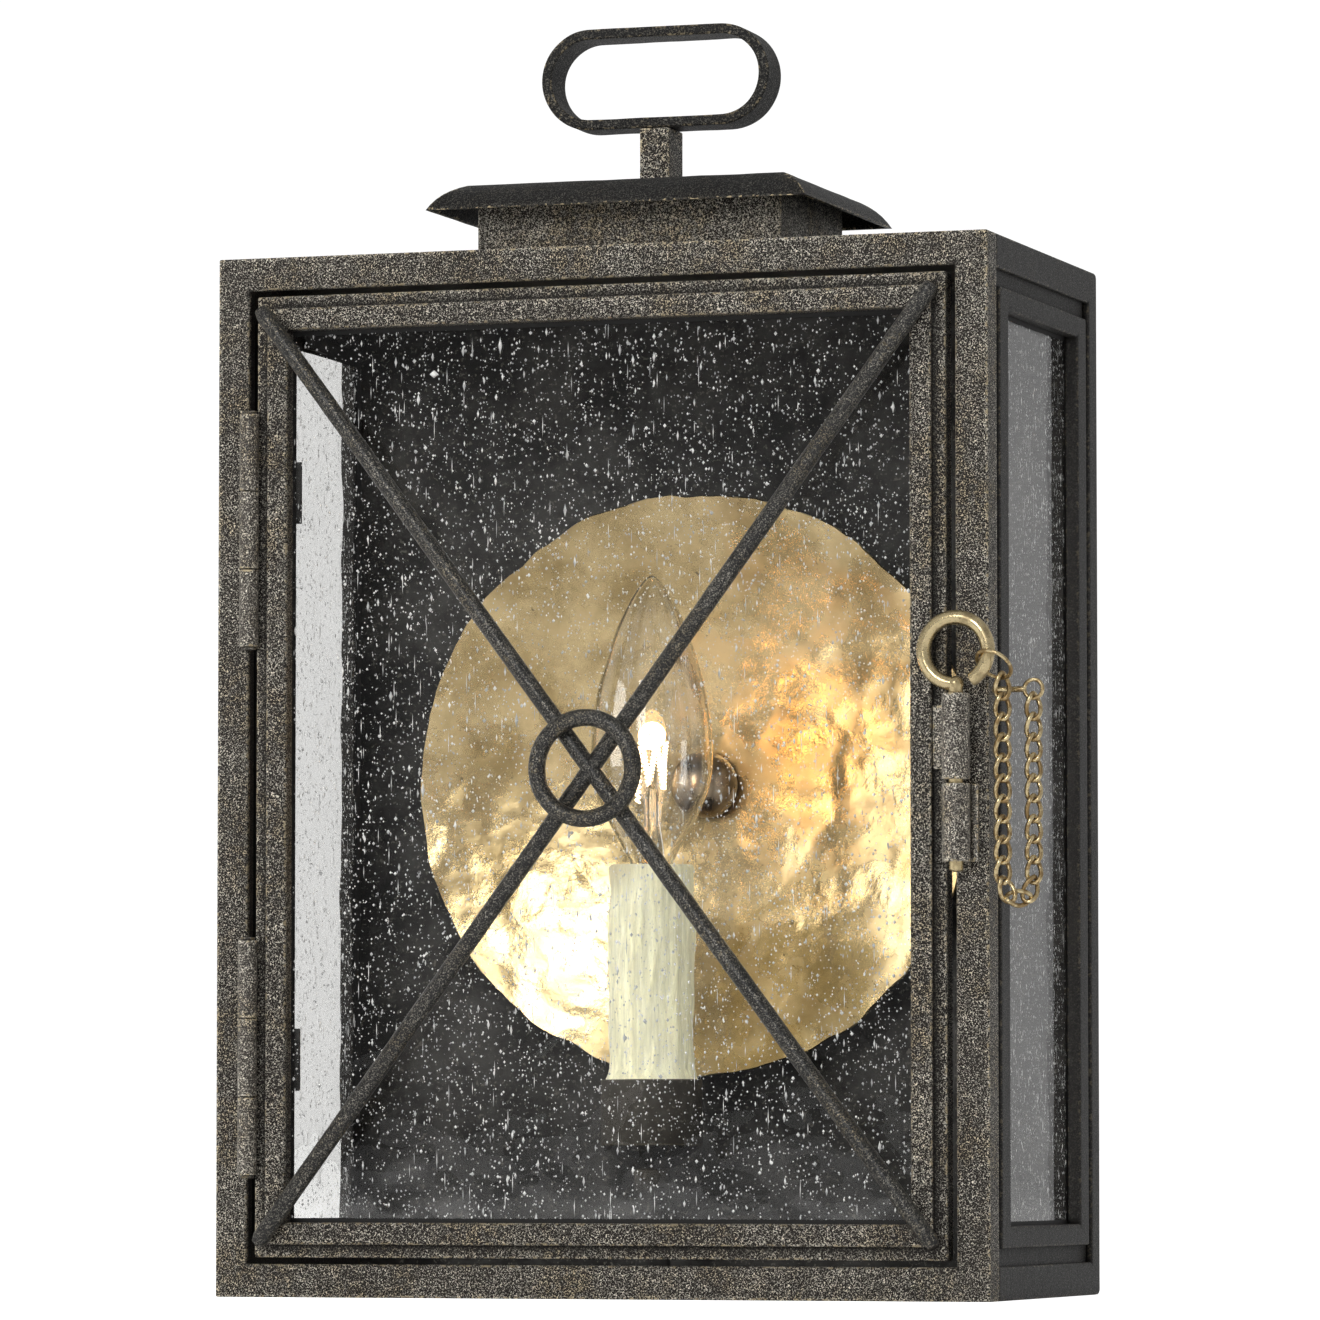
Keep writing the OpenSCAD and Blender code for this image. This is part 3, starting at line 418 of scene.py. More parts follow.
def dark_paint(f):
    """Inner paint: matt, mottled and nearly black."""
    metal = bpy.context.scene.lantern_metal
    cloud = f.ramp(f.noise(0.024, 5, 0.68), 0.36, 0.68)
    paint = f.mix(cloud, toned(metal.inner, 0.5), toned(metal.inner, 2.0))
    specks = f.ramp(f.noise(0.0012, 2, 0.6), 0.60, 0.7, 0, 0.3)
    paint = f.mix(specks, paint, toned(metal.speckle, 0.3))
    paint = f.mix(f.ramp(f.stored("wear"), 0.6, 1, 0, 0.3), paint, toned(metal.worn, 0.4))
    return f.surface_is(
        Base_Color=paint, Metallic=0.0, Roughness=f.ramp(cloud, 0, 1, 0.5, 0.68),
        Normal=f.relief(f.noise(0.0016, 3, 0.6), 0.0003), Specular_IOR_Level=0.15,
    )


def black_paint_and_pane_shade(f):
    """Matt black of the small clips, and the painted shade of the panes' dark borders."""
    shade = f.mix(f.noise(0.003, 3, 0.6), (0.004, 0.004, 0.004), (0.014, 0.013, 0.012))
    return f.surface_is(Base_Color=shade, Roughness=0.6, Normal=f.relief(f.noise(0.0008, 2), 0.0001))


def aged_brass(f):
    """Brass of the ring pin, brown in its hollows."""
    metal = bpy.context.scene.lantern_metal
    age = f.ramp(f.noise(0.0045, 4, 0.6), 0.45, 0.72)
    pits = f.ramp(f.noise(0.0007, 2, 0.6), 0.28, 0.40)
    shade = f.mix(f.times(age, 0.55), metal.brass, metal.tarnish)
    shade = f.mix(f.times(f.minus(1, pits), 0.6), shade, metal.tarnish)
    return f.surface_is(
        Base_Color=shade, Metallic=0.95, Roughness=f.ramp(age, 0, 1, 0.24, 0.42),
        Normal=f.relief(f.noise(0.0014, 3, 0.6), 0.00006),
    )


def chain_brass(f):
    """Brass of the chain and its rings, browner where the links rub less."""
    metal = bpy.context.scene.lantern_metal
    age = f.ramp(f.noise(0.0022, 3, 0.6), 0.38, 0.62)
    shade = f.mix(age, toned(metal.brass, 1.1), toned(metal.brass, 0.50, 0.42, 0.34))
    return f.surface_is(
        Base_Color=shade, Metallic=0.95, Roughness=f.ramp(age, 0, 1, 0.22, 0.40),
        Normal=f.relief(f.noise(0.0012, 2), 0.00005),
    )


def hammered_brass(f):
    """Polished brass of the reflector, with small spots, and with brown patches that are a painted
    reflection of darker surroundings.
    """
    face = bpy.context.scene.lantern_reflector.face
    # Painted reflection: these brown patches stand in for darker surroundings seen in the brass.
    age = f.ramp(f.noise(0.030, 5, 0.62), 0.36, 0.66)
    shade = f.mix(f.times(age, 0.8), face, toned(face, 0.46, 0.42, 0.32))
    spots = f.ramp(f.noise(0.0035, 2, 0.6), 0.72, 0.78, 0, 0.7)
    shade = f.mix(spots, shade, toned(face, 0.25))
    return f.surface_is(
        Base_Color=shade, Metallic=1.0, Roughness=f.ramp(f.noise(0.012, 4, 0.6), 0.3, 0.7, 0.20, 0.32),
        Normal=f.relief(f.noise(0.006, 3, 0.55), 0.00026),
    )


def bronzed_brass(f):
    """Dark bronzed brass of the dome nut, paler at its crown, which faces the front."""
    cloud = f.ramp(f.noise(0.006, 4, 0.6), 0.35, 0.7)
    shade = f.mix(cloud, (0.30, 0.22, 0.15), (0.50, 0.40, 0.28))
    shade = f.mix(f.ramp(f.stored("wear"), 0.3, 1, 0, 0.7), shade, (0.62, 0.52, 0.38))
    return f.surface_is(
        Base_Color=shade, Metallic=1.0, Roughness=f.ramp(cloud, 0, 1, 0.26, 0.36), Coat_Weight=0.2
    )


def zinc_steel(f):
    """Zinc-plated steel with its dull spangle."""
    spangle = f.ramp(f.cells(0.006, 0.2), 0.1, 0.8)
    shade = f.mix(spangle, (0.42, 0.43, 0.43), (0.66, 0.66, 0.64))
    # Painted shade: the steel darkens near its inner corners, where shade would fall.
    shade = f.mix(f.ramp(f.stored("corner_shade"), 0.2, 1, 0, 0.6), shade, (0.12, 0.11, 0.10))
    return f.surface_is(
        Base_Color=shade, Metallic=0.95, Roughness=f.ramp(spangle, 0, 1, 0.32, 0.46),
        Normal=f.relief(f.noise(0.0012, 2), 0.00005),
    )


def green_screw(f):
    """Green passivated plating of the earth screw."""
    shade = f.mix(f.noise(0.002, 3), (0.05, 0.22, 0.08), (0.12, 0.40, 0.17))
    shade = f.mix(f.ramp(f.stored("wear"), 0.4, 1, 0, 0.6), shade, (0.5, 0.5, 0.42))
    return f.surface_is(
        Base_Color=shade, Metallic=0.7, Roughness=0.36, Normal=f.relief(f.noise(0.001), 0.00004)
    )


def black_plastic(f):
    """Moulded phenolic, slightly dusty."""
    shade = f.mix(f.noise(0.004, 4, 0.6), (0.012, 0.012, 0.012), (0.040, 0.038, 0.036))
    return f.surface_is(
        Base_Color=shade, Roughness=f.ramp(f.noise(0.003, 3), 0.3, 0.7, 0.42, 0.58),
        Normal=f.relief(f.noise(0.0006, 2), 0.00003),
    )


def ivory_sleeve(f):
    """Candle wax: a vertical grain, with brown staining near the top."""
    wax = bpy.context.scene.lantern_lamp.wax
    grain = f.noise(0.0016, 4, 0.65, f.stretched((1, 1, 0.12)))
    cloud = f.noise(0.012, 3, 0.6, f.stretched((1, 1, 0.5)))
    shade = f.mix(f.ramp(grain, 0.35, 0.7), toned(wax, 0.62), wax)
    shade = f.mix(f.ramp(cloud, 0.45, 0.75, 0, 0.55), shade, (0.88, 0.86, 0.68))
    shade = f.mix(f.ramp(f.stored("stain"), 0.1, 1, 0, 0.6), shade, (0.30, 0.22, 0.12))
    bumps = f.relief(f.noise(0.003, 3, 0.6, f.stretched((1, 1, 0.2))), 0.0009, f.relief(grain, 0.0005))
    # Painted light: the wax glows faintly in its own colour, which makes the sleeve brighter.
    return f.surface_is(
        Base_Color=shade, Roughness=0.48, Normal=bumps, Subsurface_Weight=0.25,
        Emission_Color=wax, Emission_Strength=0.22,
        Subsurface_Radius=(0.6, 0.45, 0.25), Subsurface_Scale=0.003,
    )


def lamp_cap_brass(f):
    """Bright rolled metal of the lamp's screw cap."""
    shade = f.mix(f.noise(0.003, 4, 0.6), (0.50, 0.42, 0.28), (0.74, 0.66, 0.48))
    rough = f.ramp(f.noise(0.002, 3), 0.3, 0.7, 0.22, 0.36)
    return f.surface_is(Base_Color=shade, Metallic=1.0, Roughness=rough)


def seeded_glass(f):
    """Clear window glass with a slight grey tint."""
    tint = f.mix(f.noise(0.04, 2), (0.955, 0.955, 0.945), (0.985, 0.983, 0.975))
    f.surface_is(Base_Color=tint, Roughness=0.0, IOR=1.5, Transmission_Weight=1.0)
    return f.lets_light_through()


def seed_white(f):
    """The bright look of small bubbles, painted: a white colour and a faint glow stand in for the light
    they scatter towards the front.
    """
    shade = f.mix(f.ramp(f.noise(0.003, 1), 0.35, 0.65), (0.42, 0.43, 0.43), (0.95, 0.95, 0.93))
    return f.surface_is(
        Base_Color=shade, Roughness=0.22, Specular_IOR_Level=0.8, Transmission_Weight=0.1,
        Emission_Color=(1, 1, 1), Emission_Strength=0.12,
    )


def clear_glass(f):
    """Thin clear glass of the lamp."""
    tint = f.mix(f.noise(0.02, 1), (0.985, 0.985, 0.98), (1.0, 1.0, 0.995))
    f.surface_is(Base_Color=tint, Roughness=0.0, IOR=1.45, Transmission_Weight=1.0)
    return f.lets_light_through()


def filament(f):
    """Hot tungsten, paler in places."""
    lamp = bpy.context.scene.lantern_lamp
    heat = f.mix(f.noise(0.004, 1), lamp.glow, (1.0, 0.82, 0.55))
    return f.surface_is(
        Base_Color=(0.3, 0.25, 0.2), Roughness=0.5, Emission_Color=heat, Emission_Strength=lamp.filament
    )


def bright_wire(f):
    """Nickel wire of the lamp's supports."""
    shade = f.mix(f.noise(0.002, 2), (0.35, 0.33, 0.30), (0.62, 0.60, 0.56))
    return f.surface_is(Base_Color=shade, Metallic=1.0, Roughness=0.28)


def floor_paint(f):
    """Pale floor with the faintest unevenness, as white as the background where it is seen directly."""
    floor = bpy.context.scene.lantern_stage.floor
    shade = f.mix(f.noise(0.6, 2), toned(floor, 0.985), floor)
    glow = f.times(f.seen_directly(), 0.78)
    return f.surface_is(
        Base_Color=shade, Roughness=0.7, Specular_IOR_Level=0.0,
        Emission_Color=floor, Emission_Strength=glow,
    )


MAKERS = {
    maker.__name__: maker
    for maker in (
        bronze_paint, roof_bronze, loop_bronze, shaded_side_bronze, lit_riser_bronze, hinge_bronze, rod_bronze,
        dark_paint, black_paint_and_pane_shade, aged_brass, chain_brass, hammered_brass, bronzed_brass, zinc_steel,
        green_screw, black_plastic, ivory_sleeve, lamp_cap_brass, seeded_glass, seed_white, clear_glass,
        filament, bright_wire, floor_paint,
    )
}


def place_piece(name, shape, look, node, rides=True, smooth=SMOOTH_LIMIT):
    """Puts a finished shape in the scene as a piece that stands for a CAD node."""
    mesh = shape
    if isinstance(shape, bmesh.types.BMesh):
        mesh = bpy.data.meshes.new(name)
        shape.to_mesh(mesh)
        shape.free()
    else:
        mesh.materials.clear()
    mesh.shade_smooth()
    mesh.set_sharp_from_angle(angle=smooth)
    mesh.materials.append(finish(look))
    piece = bpy.data.objects.new(name, mesh)
    bpy.context.scene.collection.objects.link(piece)
    if rides:
        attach(piece, BODIES[node])
    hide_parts(node)
    return piece


def merged_copy(node):
    """A welded copy of a CAD node, its flat faces made whole."""
    bm = bmesh.new()
    bm.from_mesh(frame["nodes"][node].data)
    bmesh.ops.remove_doubles(bm, verts=bm.verts, dist=WELD)
    bmesh.ops.dissolve_limit(
        bm, angle_limit=math.radians(0.5), use_dissolve_boundaries=False, verts=bm.verts, edges=bm.edges,
        delimit=set(),
    )
    return bm


def is_sharp(edge):
    """Whether two faces meet at an edge at more than the sharp angle."""
    return len(edge.link_faces) == 2 and edge.calc_face_angle() > SHARP


def corner_runs(bm):
    """The sharp edges as pairs of end points: those that stick out, and those in a corner."""
    outer, inner = [], []
    for edge in bm.edges:
        if is_sharp(edge):
            run = (edge.verts[0].co.copy(), edge.verts[1].co.copy())
            (outer if edge.is_convex else inner).append(run)
    return outer, inner


def nearness(points, runs, reach):
    """1 on a run, falling to 0 where the reach ends."""
    best = np.full(len(points), np.inf)
    for a, b in runs:
        start, along = np.array(a), np.array(b - a)
        share = np.clip(((points - start) @ along) / max(along @ along, 1e-12), 0, 1)
        gap = np.linalg.norm(points - start - share[:, None] * along, axis=1)
        best = np.minimum(best, gap)
    return np.clip(1 - best / reach, 0, 1)


def cut_at(bm, axis, stops):
    """Cuts every face along planes across one axis."""
    normal = Vector((0, 0, 0))
    normal[axis] = 1
    for stop in sorted(stops):
        everything = bm.verts[:] + bm.edges[:] + bm.faces[:]
        bmesh.ops.bisect_plane(bm, geom=everything, dist=1e-6, plane_co=normal * stop, plane_no=normal)


def band_stops(runs, reach, axis):
    """Places just beside the straight edges that run square to the others."""
    stops = set()
    for a, b in runs:
        along = b - a
        flat = [abs(c) < 1e-6 for c in along]
        if sum(flat) == 2 and flat[axis]:
            stops.update(round(a[axis] + side * reach, 5) for side in (-1, 1))
    return stops


def store(bm, name, values):
    """Keeps a value on each point of a bmesh."""
    layer = bm.verts.layers.float.new(name)
    for vert, value in zip(bm.verts, values):
        vert[layer] = value


def coordinates(bm):
    """The points of a bmesh as an array."""
    return np.array([v.co for v in bm.verts], float).reshape(-1, 3)


def round_rear(bm):
    """Rounds the box's upper and lower rear edges, so that its side has rounded rear corners."""
    corner = BOX_TOP - REAR_ROUND
    turns = [math.radians(angle) for angle in range(0, 91, 15)]
    cut_at(bm, 1, [-REAR_ROUND * (1 - math.sin(turn)) for turn in turns[:-1]])
    rows = [corner + REAR_ROUND * math.cos(turn) for turn in turns[1:]]
    cut_at(bm, 2, [side * row for row in rows for side in (-1, 1)])
    for vert in bm.verts:
        out, up = vert.co.y + REAR_ROUND, abs(vert.co.z) - corner
        if out > 0 and up > 0 and math.hypot(out, up) > REAR_ROUND:
            share = REAR_ROUND / math.hypot(out, up)
            vert.co.y = out * share - REAR_ROUND
            vert.co.z = math.copysign(corner + up * share, vert.co.z)


def dressed(node, look=None, rounding=None, cell=0.0, hammer=0.0, bands=True, rear=False):
    """A CAD node with rounded edges, and with wear and painted corner shade marked on its points.

    Bands cut it beside its straight edges, so that the wear stays near them. Cells make it fine
    enough to be hammered.
    """
    metal = bpy.context.scene.lantern_metal
    rounding = metal.edge_round if rounding is None else rounding
    bm = merged_copy(node)
    outer, inner = corner_runs(bm)
    if rounding:
        edges = [edge for edge in bm.edges if is_sharp(edge) and edge.is_convex]
        bmesh.ops.bevel(
            bm, geom=edges, offset=rounding, offset_type="OFFSET", segments=2, profile=0.5, affect="EDGES",
            clamp_overlap=True, material=-1, loop_slide=True,
        )
    low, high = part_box(node)
    for axis in range(3):
        stops = band_stops(outer + inner, metal.wear_reach, axis) if bands else set()
        if cell:
            span = high[axis] - low[axis]
            count = int(span / cell)
            stops.update(low[axis] + span * (i + 1) / (count + 1) for i in range(count))
        cut_at(bm, axis, {s for s in stops if low[axis] < s < high[axis]})
    if rear:
        round_rear(bm)
    points = coordinates(bm)
    store(bm, "wear", nearness(points, outer, metal.wear_reach))
    # Painted shade: how near each point is to an inner corner, where the paint is darkened as if shaded.
    store(bm, "corner_shade", nearness(points, inner, 2 * metal.wear_reach))
    if hammer:
        bm.normal_update()
        for vert in bm.verts:
            push = 0.5 + 0.5 * noise.noise(vert.co / HAMMER_SPACING)
            vert.co -= vert.normal * hammer * push
    place_piece(f"{node}_finished", bm, look or SLOTS[node], node)


def spin_round(bm, centre, axis, steps):
    """Turns what the bmesh holds full round an axis."""
    bmesh.ops.spin(
        bm, geom=bm.verts[:] + bm.edges[:], cent=centre, axis=axis, dvec=(0, 0, 0), angle=2 * math.pi,
        steps=steps, use_merge=True, use_normal_flip=False, use_duplicate=False,
    )


def lathe(profile, centre, axis, steps, closed=False):
    """Turns an outline of radius and height round an axis. A closed outline makes a ring-shaped body."""
    bm = bmesh.new()
    axis = Vector(axis)
    side = Vector((1, 0, 0))
    centre = Vector(centre)
    points = [bm.verts.new(centre + side * radius + axis * height) for radius, height in profile]
    for pair in zip(points, points[1:]):
        bm.edges.new(pair)
    if closed:
        bm.edges.new((points[-1], points[0]))
    spin_round(bm, centre, axis, steps)
    bmesh.ops.remove_doubles(bm, verts=bm.verts, dist=WELD)
    bmesh.ops.recalc_face_normals(bm, faces=bm.faces)
    return bm


def upright(node):
    """The foot, the radius and the height of a CAD node that stands upright and is round."""
    low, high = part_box(node)
    foot = ((low.x + high.x) / 2, (low.y + high.y) / 2, low.z)
    return foot, (high.x - low.x) / 2, high.z - low.z


def drawn_wire(name, lines, radius, roundness, closed=False):
    """Round wire along each line of points, run back to its start where it is closed."""
    curve = bpy.data.curves.new(name, "CURVE")
    curve.dimensions = "3D"
    curve.bevel_depth = radius
    curve.bevel_resolution = roundness
    curve.use_fill_caps = True
    for points in lines:
        line = curve.splines.new("POLY")
        line.points.add(len(points) - 1)
        for target, point in zip(line.points, points):
            target.co = (*point, 1)
        line.use_cyclic_u = closed
    holder = bpy.data.objects.new(name, curve)
    bpy.context.scene.collection.objects.link(holder)
    mesh = bpy.data.meshes.new_from_object(holder.evaluated_get(bpy.context.evaluated_depsgraph_get()))
    bpy.data.objects.remove(holder)
    bpy.data.curves.remove(curve)
    return mesh


def wavy(point, size, seed):
    """Smooth unevenness between -1 and 1, with swells of about that size."""
    return noise.noise(point / size + Vector((seed, 2 * seed, 3 * seed)))


class LANTERN_OT_body(bpy.types.Operator):
    """Finishes the front frame, the side frames, the top and bottom plates and the back pan"""

    bl_idname = "lantern.body"
    bl_label = "Box"

    def execute(self, context):
        dressed("front_frame")
        dressed("left_side_frame", "shaded_side_bronze", rear=True)
        dressed("right_side_frame", "shaded_side_bronze", rear=True)
        for node in ("top_plate", "bottom_plate", "back_pan"):
            dressed(node, "dark_paint", rounding=0.0003, rear=True)
        return {"FINISHED"}


def wavy_pane(name, node, across, up):
    """A pane of old glass with a dark border of painted shade round its edge. Both its faces are uneven and
    stay within the CAD pane.
    """
    glass = bpy.context.scene.lantern_glass
    low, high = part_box(node)
    thin = 3 - across - up
    size = high - low
    middle = (low + high) / 2
    cell = glass.wave_length / 5
    bm = bmesh.new()
    bmesh.ops.create_grid(
        bm, x_segments=round(size[across] / cell), y_segments=round(size[up] / cell), size=0.5
    )
    bmesh.ops.solidify(bm, geom=bm.faces[:], thickness=1.0)
    clear = [0.5 - border / size[way] for border, way in zip(PANE_SHADE_BORDERS, (across, up))]
    for axis in (0, 1):
        cut_at(bm, axis, [-clear[axis], clear[axis]])
    for face in bm.faces:
        centre = face.calc_center_median()
        face.material_index = int(max(abs(centre[axis]) - clear[axis] for axis in (0, 1)) > 0)
    depths = coordinates(bm)[:, 2]
    for vert, beyond in zip(bm.verts, depths > depths.mean()):
        place = Vector((0, 0, 0))
        place[across] = middle[across] + vert.co.x * size[across]
        place[up] = middle[up] + vert.co.y * size[up]
        place[thin] = high[thin] if beyond else low[thin]
        seed = 3.7 if beyond else 8.1
        swell = 0.7 * wavy(place, glass.wave_length, seed)
        swell += 0.3 * wavy(place, glass.wave_length / 2, seed + 1)
        inwards = glass.wave_depth * (1 + swell) / 2
        place[thin] += -inwards if beyond else inwards
        vert.co = place
    bmesh.ops.recalc_face_normals(bm, faces=bm.faces)
    pane = place_piece(name, bm, "seeded_glass", node)
    pane.data.materials.append(finish("black_paint_and_pane_shade"))


def numbered_copies(name, count):
    """A mesh of that many small round bodies, and for each of its points the number of its body."""
    bm = bmesh.new()
    bmesh.ops.create_uvsphere(bm, u_segments=4, v_segments=2, radius=0.5)
    layer = bm.verts.layers.int.new("copy")
    made = 1
    while made < count:
        more = min(made, count - made)
        part = [v for v in bm.verts if v[layer] < more]
        some = set(part)
        part += [e for e in bm.edges if e.verts[0] in some]
        part += [f for f in bm.faces if f.verts[0] in some]
        for item in bmesh.ops.duplicate(bm, geom=part)["geom"]:
            if isinstance(item, bmesh.types.BMVert):
                item[layer] += made
        made += more
    mesh = bpy.data.meshes.new(name)
    bm.to_mesh(mesh)
    bm.free()
    copy = np.zeros(len(mesh.vertices), dtype=np.int32)
    mesh.attributes["copy"].data.foreach_get("value", copy)
    mesh.attributes.remove(mesh.attributes["copy"])
    return mesh, copy


def seeds(name, node, across, up, count, seed, blister=None):
    """Bubbles inside a pane: mostly tiny and round, some drawn out upright, and one blister if asked."""
    glass = bpy.context.scene.lantern_glass
    low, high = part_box(node)
    thin = 3 - across - up
    draw = np.random.default_rng(seed)
    mesh, copy = numbered_copies(name, count)
    shape = np.zeros(len(mesh.vertices) * 3)
    mesh.vertices.foreach_get("co", shape)
    shape = shape.reshape(-1, 3)
    width = glass.seed_size * np.clip(draw.lognormal(0, 0.38, count), 0.5, 3.0)
    is_drawn_out = draw.random(count) < DRAWN_OUT_SHARE
    tall = np.where(is_drawn_out, draw.uniform(1.8, 4.2, count), draw.uniform(1, 1.35, count))
    is_streak = draw.random(count) < STREAK_SHARE
    width = np.where(is_streak, glass.seed_size * 0.7, width)
    tall = np.where(is_streak, draw.uniform(8, 24, count), tall)
    if blister:
        width[0], tall[0] = BLISTER_WIDTH, 0.85
    scale = np.zeros((count, 3))
    scale[:, across] = width
    scale[:, up] = width * tall
    scale[:, thin] = np.minimum(width, THICKEST_SEED)
    depth = high[thin] - low[thin]
    centre = np.zeros((count, 3))
    for axis in (across, up):
        centre[:, axis] = draw.uniform(low[axis] + SEED_MARGIN, high[axis] - SEED_MARGIN, count)
        if blister:
            centre[0, axis] = blister[axis]
    centre[:, thin] = draw.uniform(low[thin] + 0.25 * depth, high[thin] - 0.25 * depth, count)
    shape = shape * scale[copy] + centre[copy]
    mesh.vertices.foreach_set("co", shape.reshape(-1))
    mesh.update()
    place_piece(name, mesh, "seed_white", node, smooth=math.pi)


class LANTERN_OT_windows(bpy.types.Operator):
    """Makes the side windows: frames, wavy seeded panes and their clips"""

    bl_idname = "lantern.windows"
    bl_label = "Side windows"

    def execute(self, context):
        glass = context.scene.lantern_glass
        for side, seed in (("left", 40), ("right", 41)):
            dressed(f"{side}_window_frame", "shaded_side_bronze")
            node = f"{side}_window_glass"
            wavy_pane(f"{side}_window_pane", node, 1, 2)
            seeds(f"{side}_window_seeds", node, 1, 2, glass.side_seeds, seed)
        dressed("window_glass_clips", "black_paint_and_pane_shade", rounding=0.0002, bands=False)
        return {"FINISHED"}


class LANTERN_OT_roof(bpy.types.Operator):
    """Makes the roof: riser, hammered plate with drooping flaps, stem and handle"""

    bl_idname = "lantern.roof"
    bl_label = "Roof and handle"

    def execute(self, context):
        dressed("roof_riser", "lit_riser_bronze")
        dressed("roof_plate", "roof_bronze", rounding=0.0003, cell=0.006, hammer=0.00025)
        dressed("handle_stem", "bronze_paint", cell=0.004, hammer=0.0001)
        dressed("handle_loop", "loop_bronze", rounding=0.0006, cell=0.004, hammer=0.0003)
        return {"FINISHED"}


def hammered_rod(node, tilt):
    """A forged rod of uneven girth from corner to corner, rising to the right where tilt is 1."""
    low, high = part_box(node)
    middle = (low + high) / 2
    radius = (high.y - low.y) / 2
    half = Vector((high.x - middle.x, high.z - middle.z))
    run = math.hypot(half.x, half.y) - radius
    steps, taper, tip_girth = 150, 0.0012, 0.72
    bm = bmesh.new()
    start = Matrix.Translation((-run, 0, 0)) @ Matrix.Rotation(math.pi / 2, 4, "Y")
    bmesh.ops.create_circle(bm, segments=16, radius=radius, cap_ends=False, matrix=start)
    bmesh.ops.spin(
        bm, geom=bm.verts[:] + bm.edges[:], cent=(0, 0, 0), axis=(1, 0, 0), angle=0, steps=steps,
        dvec=(2 * run / steps, 0, 0), use_merge=False, use_normal_flip=False, use_duplicate=False,
    )
    for vert in bm.verts:
        blows = 0.035 * (0.5 + 0.5 * wavy(vert.co, 0.0075, tilt))
        nicks = 0.03 * abs(wavy(vert.co, 0.003, 5))
        girth = 1 - blows - nicks
        end = (run - abs(vert.co.x)) / taper
        girth *= min(1, tip_girth + (1 - tip_girth) * max(end, 0))
        vert.co.y *= girth
        vert.co.z *= girth
    bmesh.ops.edgeloop_fill(bm, edges=[edge for edge in bm.edges if edge.is_boundary])
    bmesh.ops.recalc_face_normals(bm, faces=bm.faces)
    lean = math.atan2(half.y, half.x) * tilt
    leaning = Matrix.Translation(middle) @ Matrix.Rotation(-lean, 4, "Y")
    bmesh.ops.transform(bm, matrix=leaning, verts=bm.verts)
    store(bm, "wear", [0.45 + 0.35 * wavy(vert.co, 0.02, 2) for vert in bm.verts])
    place_piece(f"{node}_forged", bm, "rod_bronze", node)


def forged_ring(node):
    """A ring of uneven round bar over the crossing of the rods."""
    low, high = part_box(node)
    middle = (low + high) / 2
    thick = (high.y - low.y) / 2
    dent = 0.00008
    bm = bmesh.new()
    section = Matrix.Translation((high.x - thick, middle.y, middle.z))
    bmesh.ops.create_circle(bm, segments=16, radius=thick, cap_ends=False, matrix=section)
    spin_round(bm, middle, (0, 1, 0), 96)
    bmesh.ops.recalc_face_normals(bm, faces=bm.faces)
    bm.normal_update()
    for vert in bm.verts:
        vert.co -= vert.normal * dent * (1 + wavy(vert.co, 0.006, 4))
    store(bm, "wear", [0.5 + 0.35 * wavy(vert.co, 0.008, 2) for vert in bm.verts])
    place_piece(f"{node}_forged", bm, "rod_bronze", node)


class LANTERN_OT_door(bpy.types.Operator):
    """Makes the door: frame, wavy seeded pane, clips, crossed rods and the ring over them"""

    bl_idname = "lantern.door"
    bl_label = "Door"

    def execute(self, context):
        glass = context.scene.lantern_glass
        dressed("door_frame")
        wavy_pane("door_pane", "door_glass", 0, 2)
        seeds("door_seeds", "door_glass", 0, 2, glass.door_seeds, 7, blister=(-0.050, 0, 0.113))
        dressed("door_glass_clips", "black_paint_and_pane_shade", rounding=0.0002, bands=False)
        hammered_rod("front_cross_rod", 1)
        hammered_rod("rear_cross_rod", -1)
        forged_ring("centre_ring")
        return {"FINISHED"}


class LANTERN_OT_hinges(bpy.types.Operator):
    """Finishes the two barrel hinges and their pins"""

    bl_idname = "lantern.hinges"
    bl_label = "Hinges"

    def execute(self, context):
        for node in ("frame_hinge_leaves", "door_hinge_leaves", "hinge_pins"):
            dressed(node, "hinge_bronze", rounding=0.0002)
        return {"FINISHED"}


class LANTERN_OT_latch(bpy.types.Operator):
    """Finishes the latch barrels, the ring pin and its jump ring, and the eyelet"""

    bl_idname = "lantern.latch"
    bl_label = "Latch"

    def execute(self, context):
        for node in ("frame_latch_barrel", "door_latch_barrel"):
            dressed(node, "hinge_bronze", rounding=0.0003)
        dressed("ring_pin", rounding=0.0003, bands=False)
        for node in ("pin_jump_ring", "chain_eyelet"):
            dressed(node, "chain_brass", rounding=0, bands=False)
        return {"FINISHED"}


# The curb chain: its two ends, its lowest point, its links and the wire they are bent from. The
# links are drawn a little thicker than that wire.
CHAIN_START = Vector((0.11830, -0.11513, 0.02392))
CHAIN_END = Vector((0.1255, -0.1093, 0.01852))
CHAIN_ACROSS = (CHAIN_END - CHAIN_START) * Vector((1, 1, 0))
CHAIN_BOTTOM = -0.038
CHAIN_LINKS = 22
PIN_SIDE_LINKS = 10
LINK_LENGTH = 0.0062
LINK_WIDTH = 0.0030
LINK_TWIST = math.radians(45)
CHAIN_WIRE = 0.0011
DRAWN_WIRE_RADIUS = 0.00066


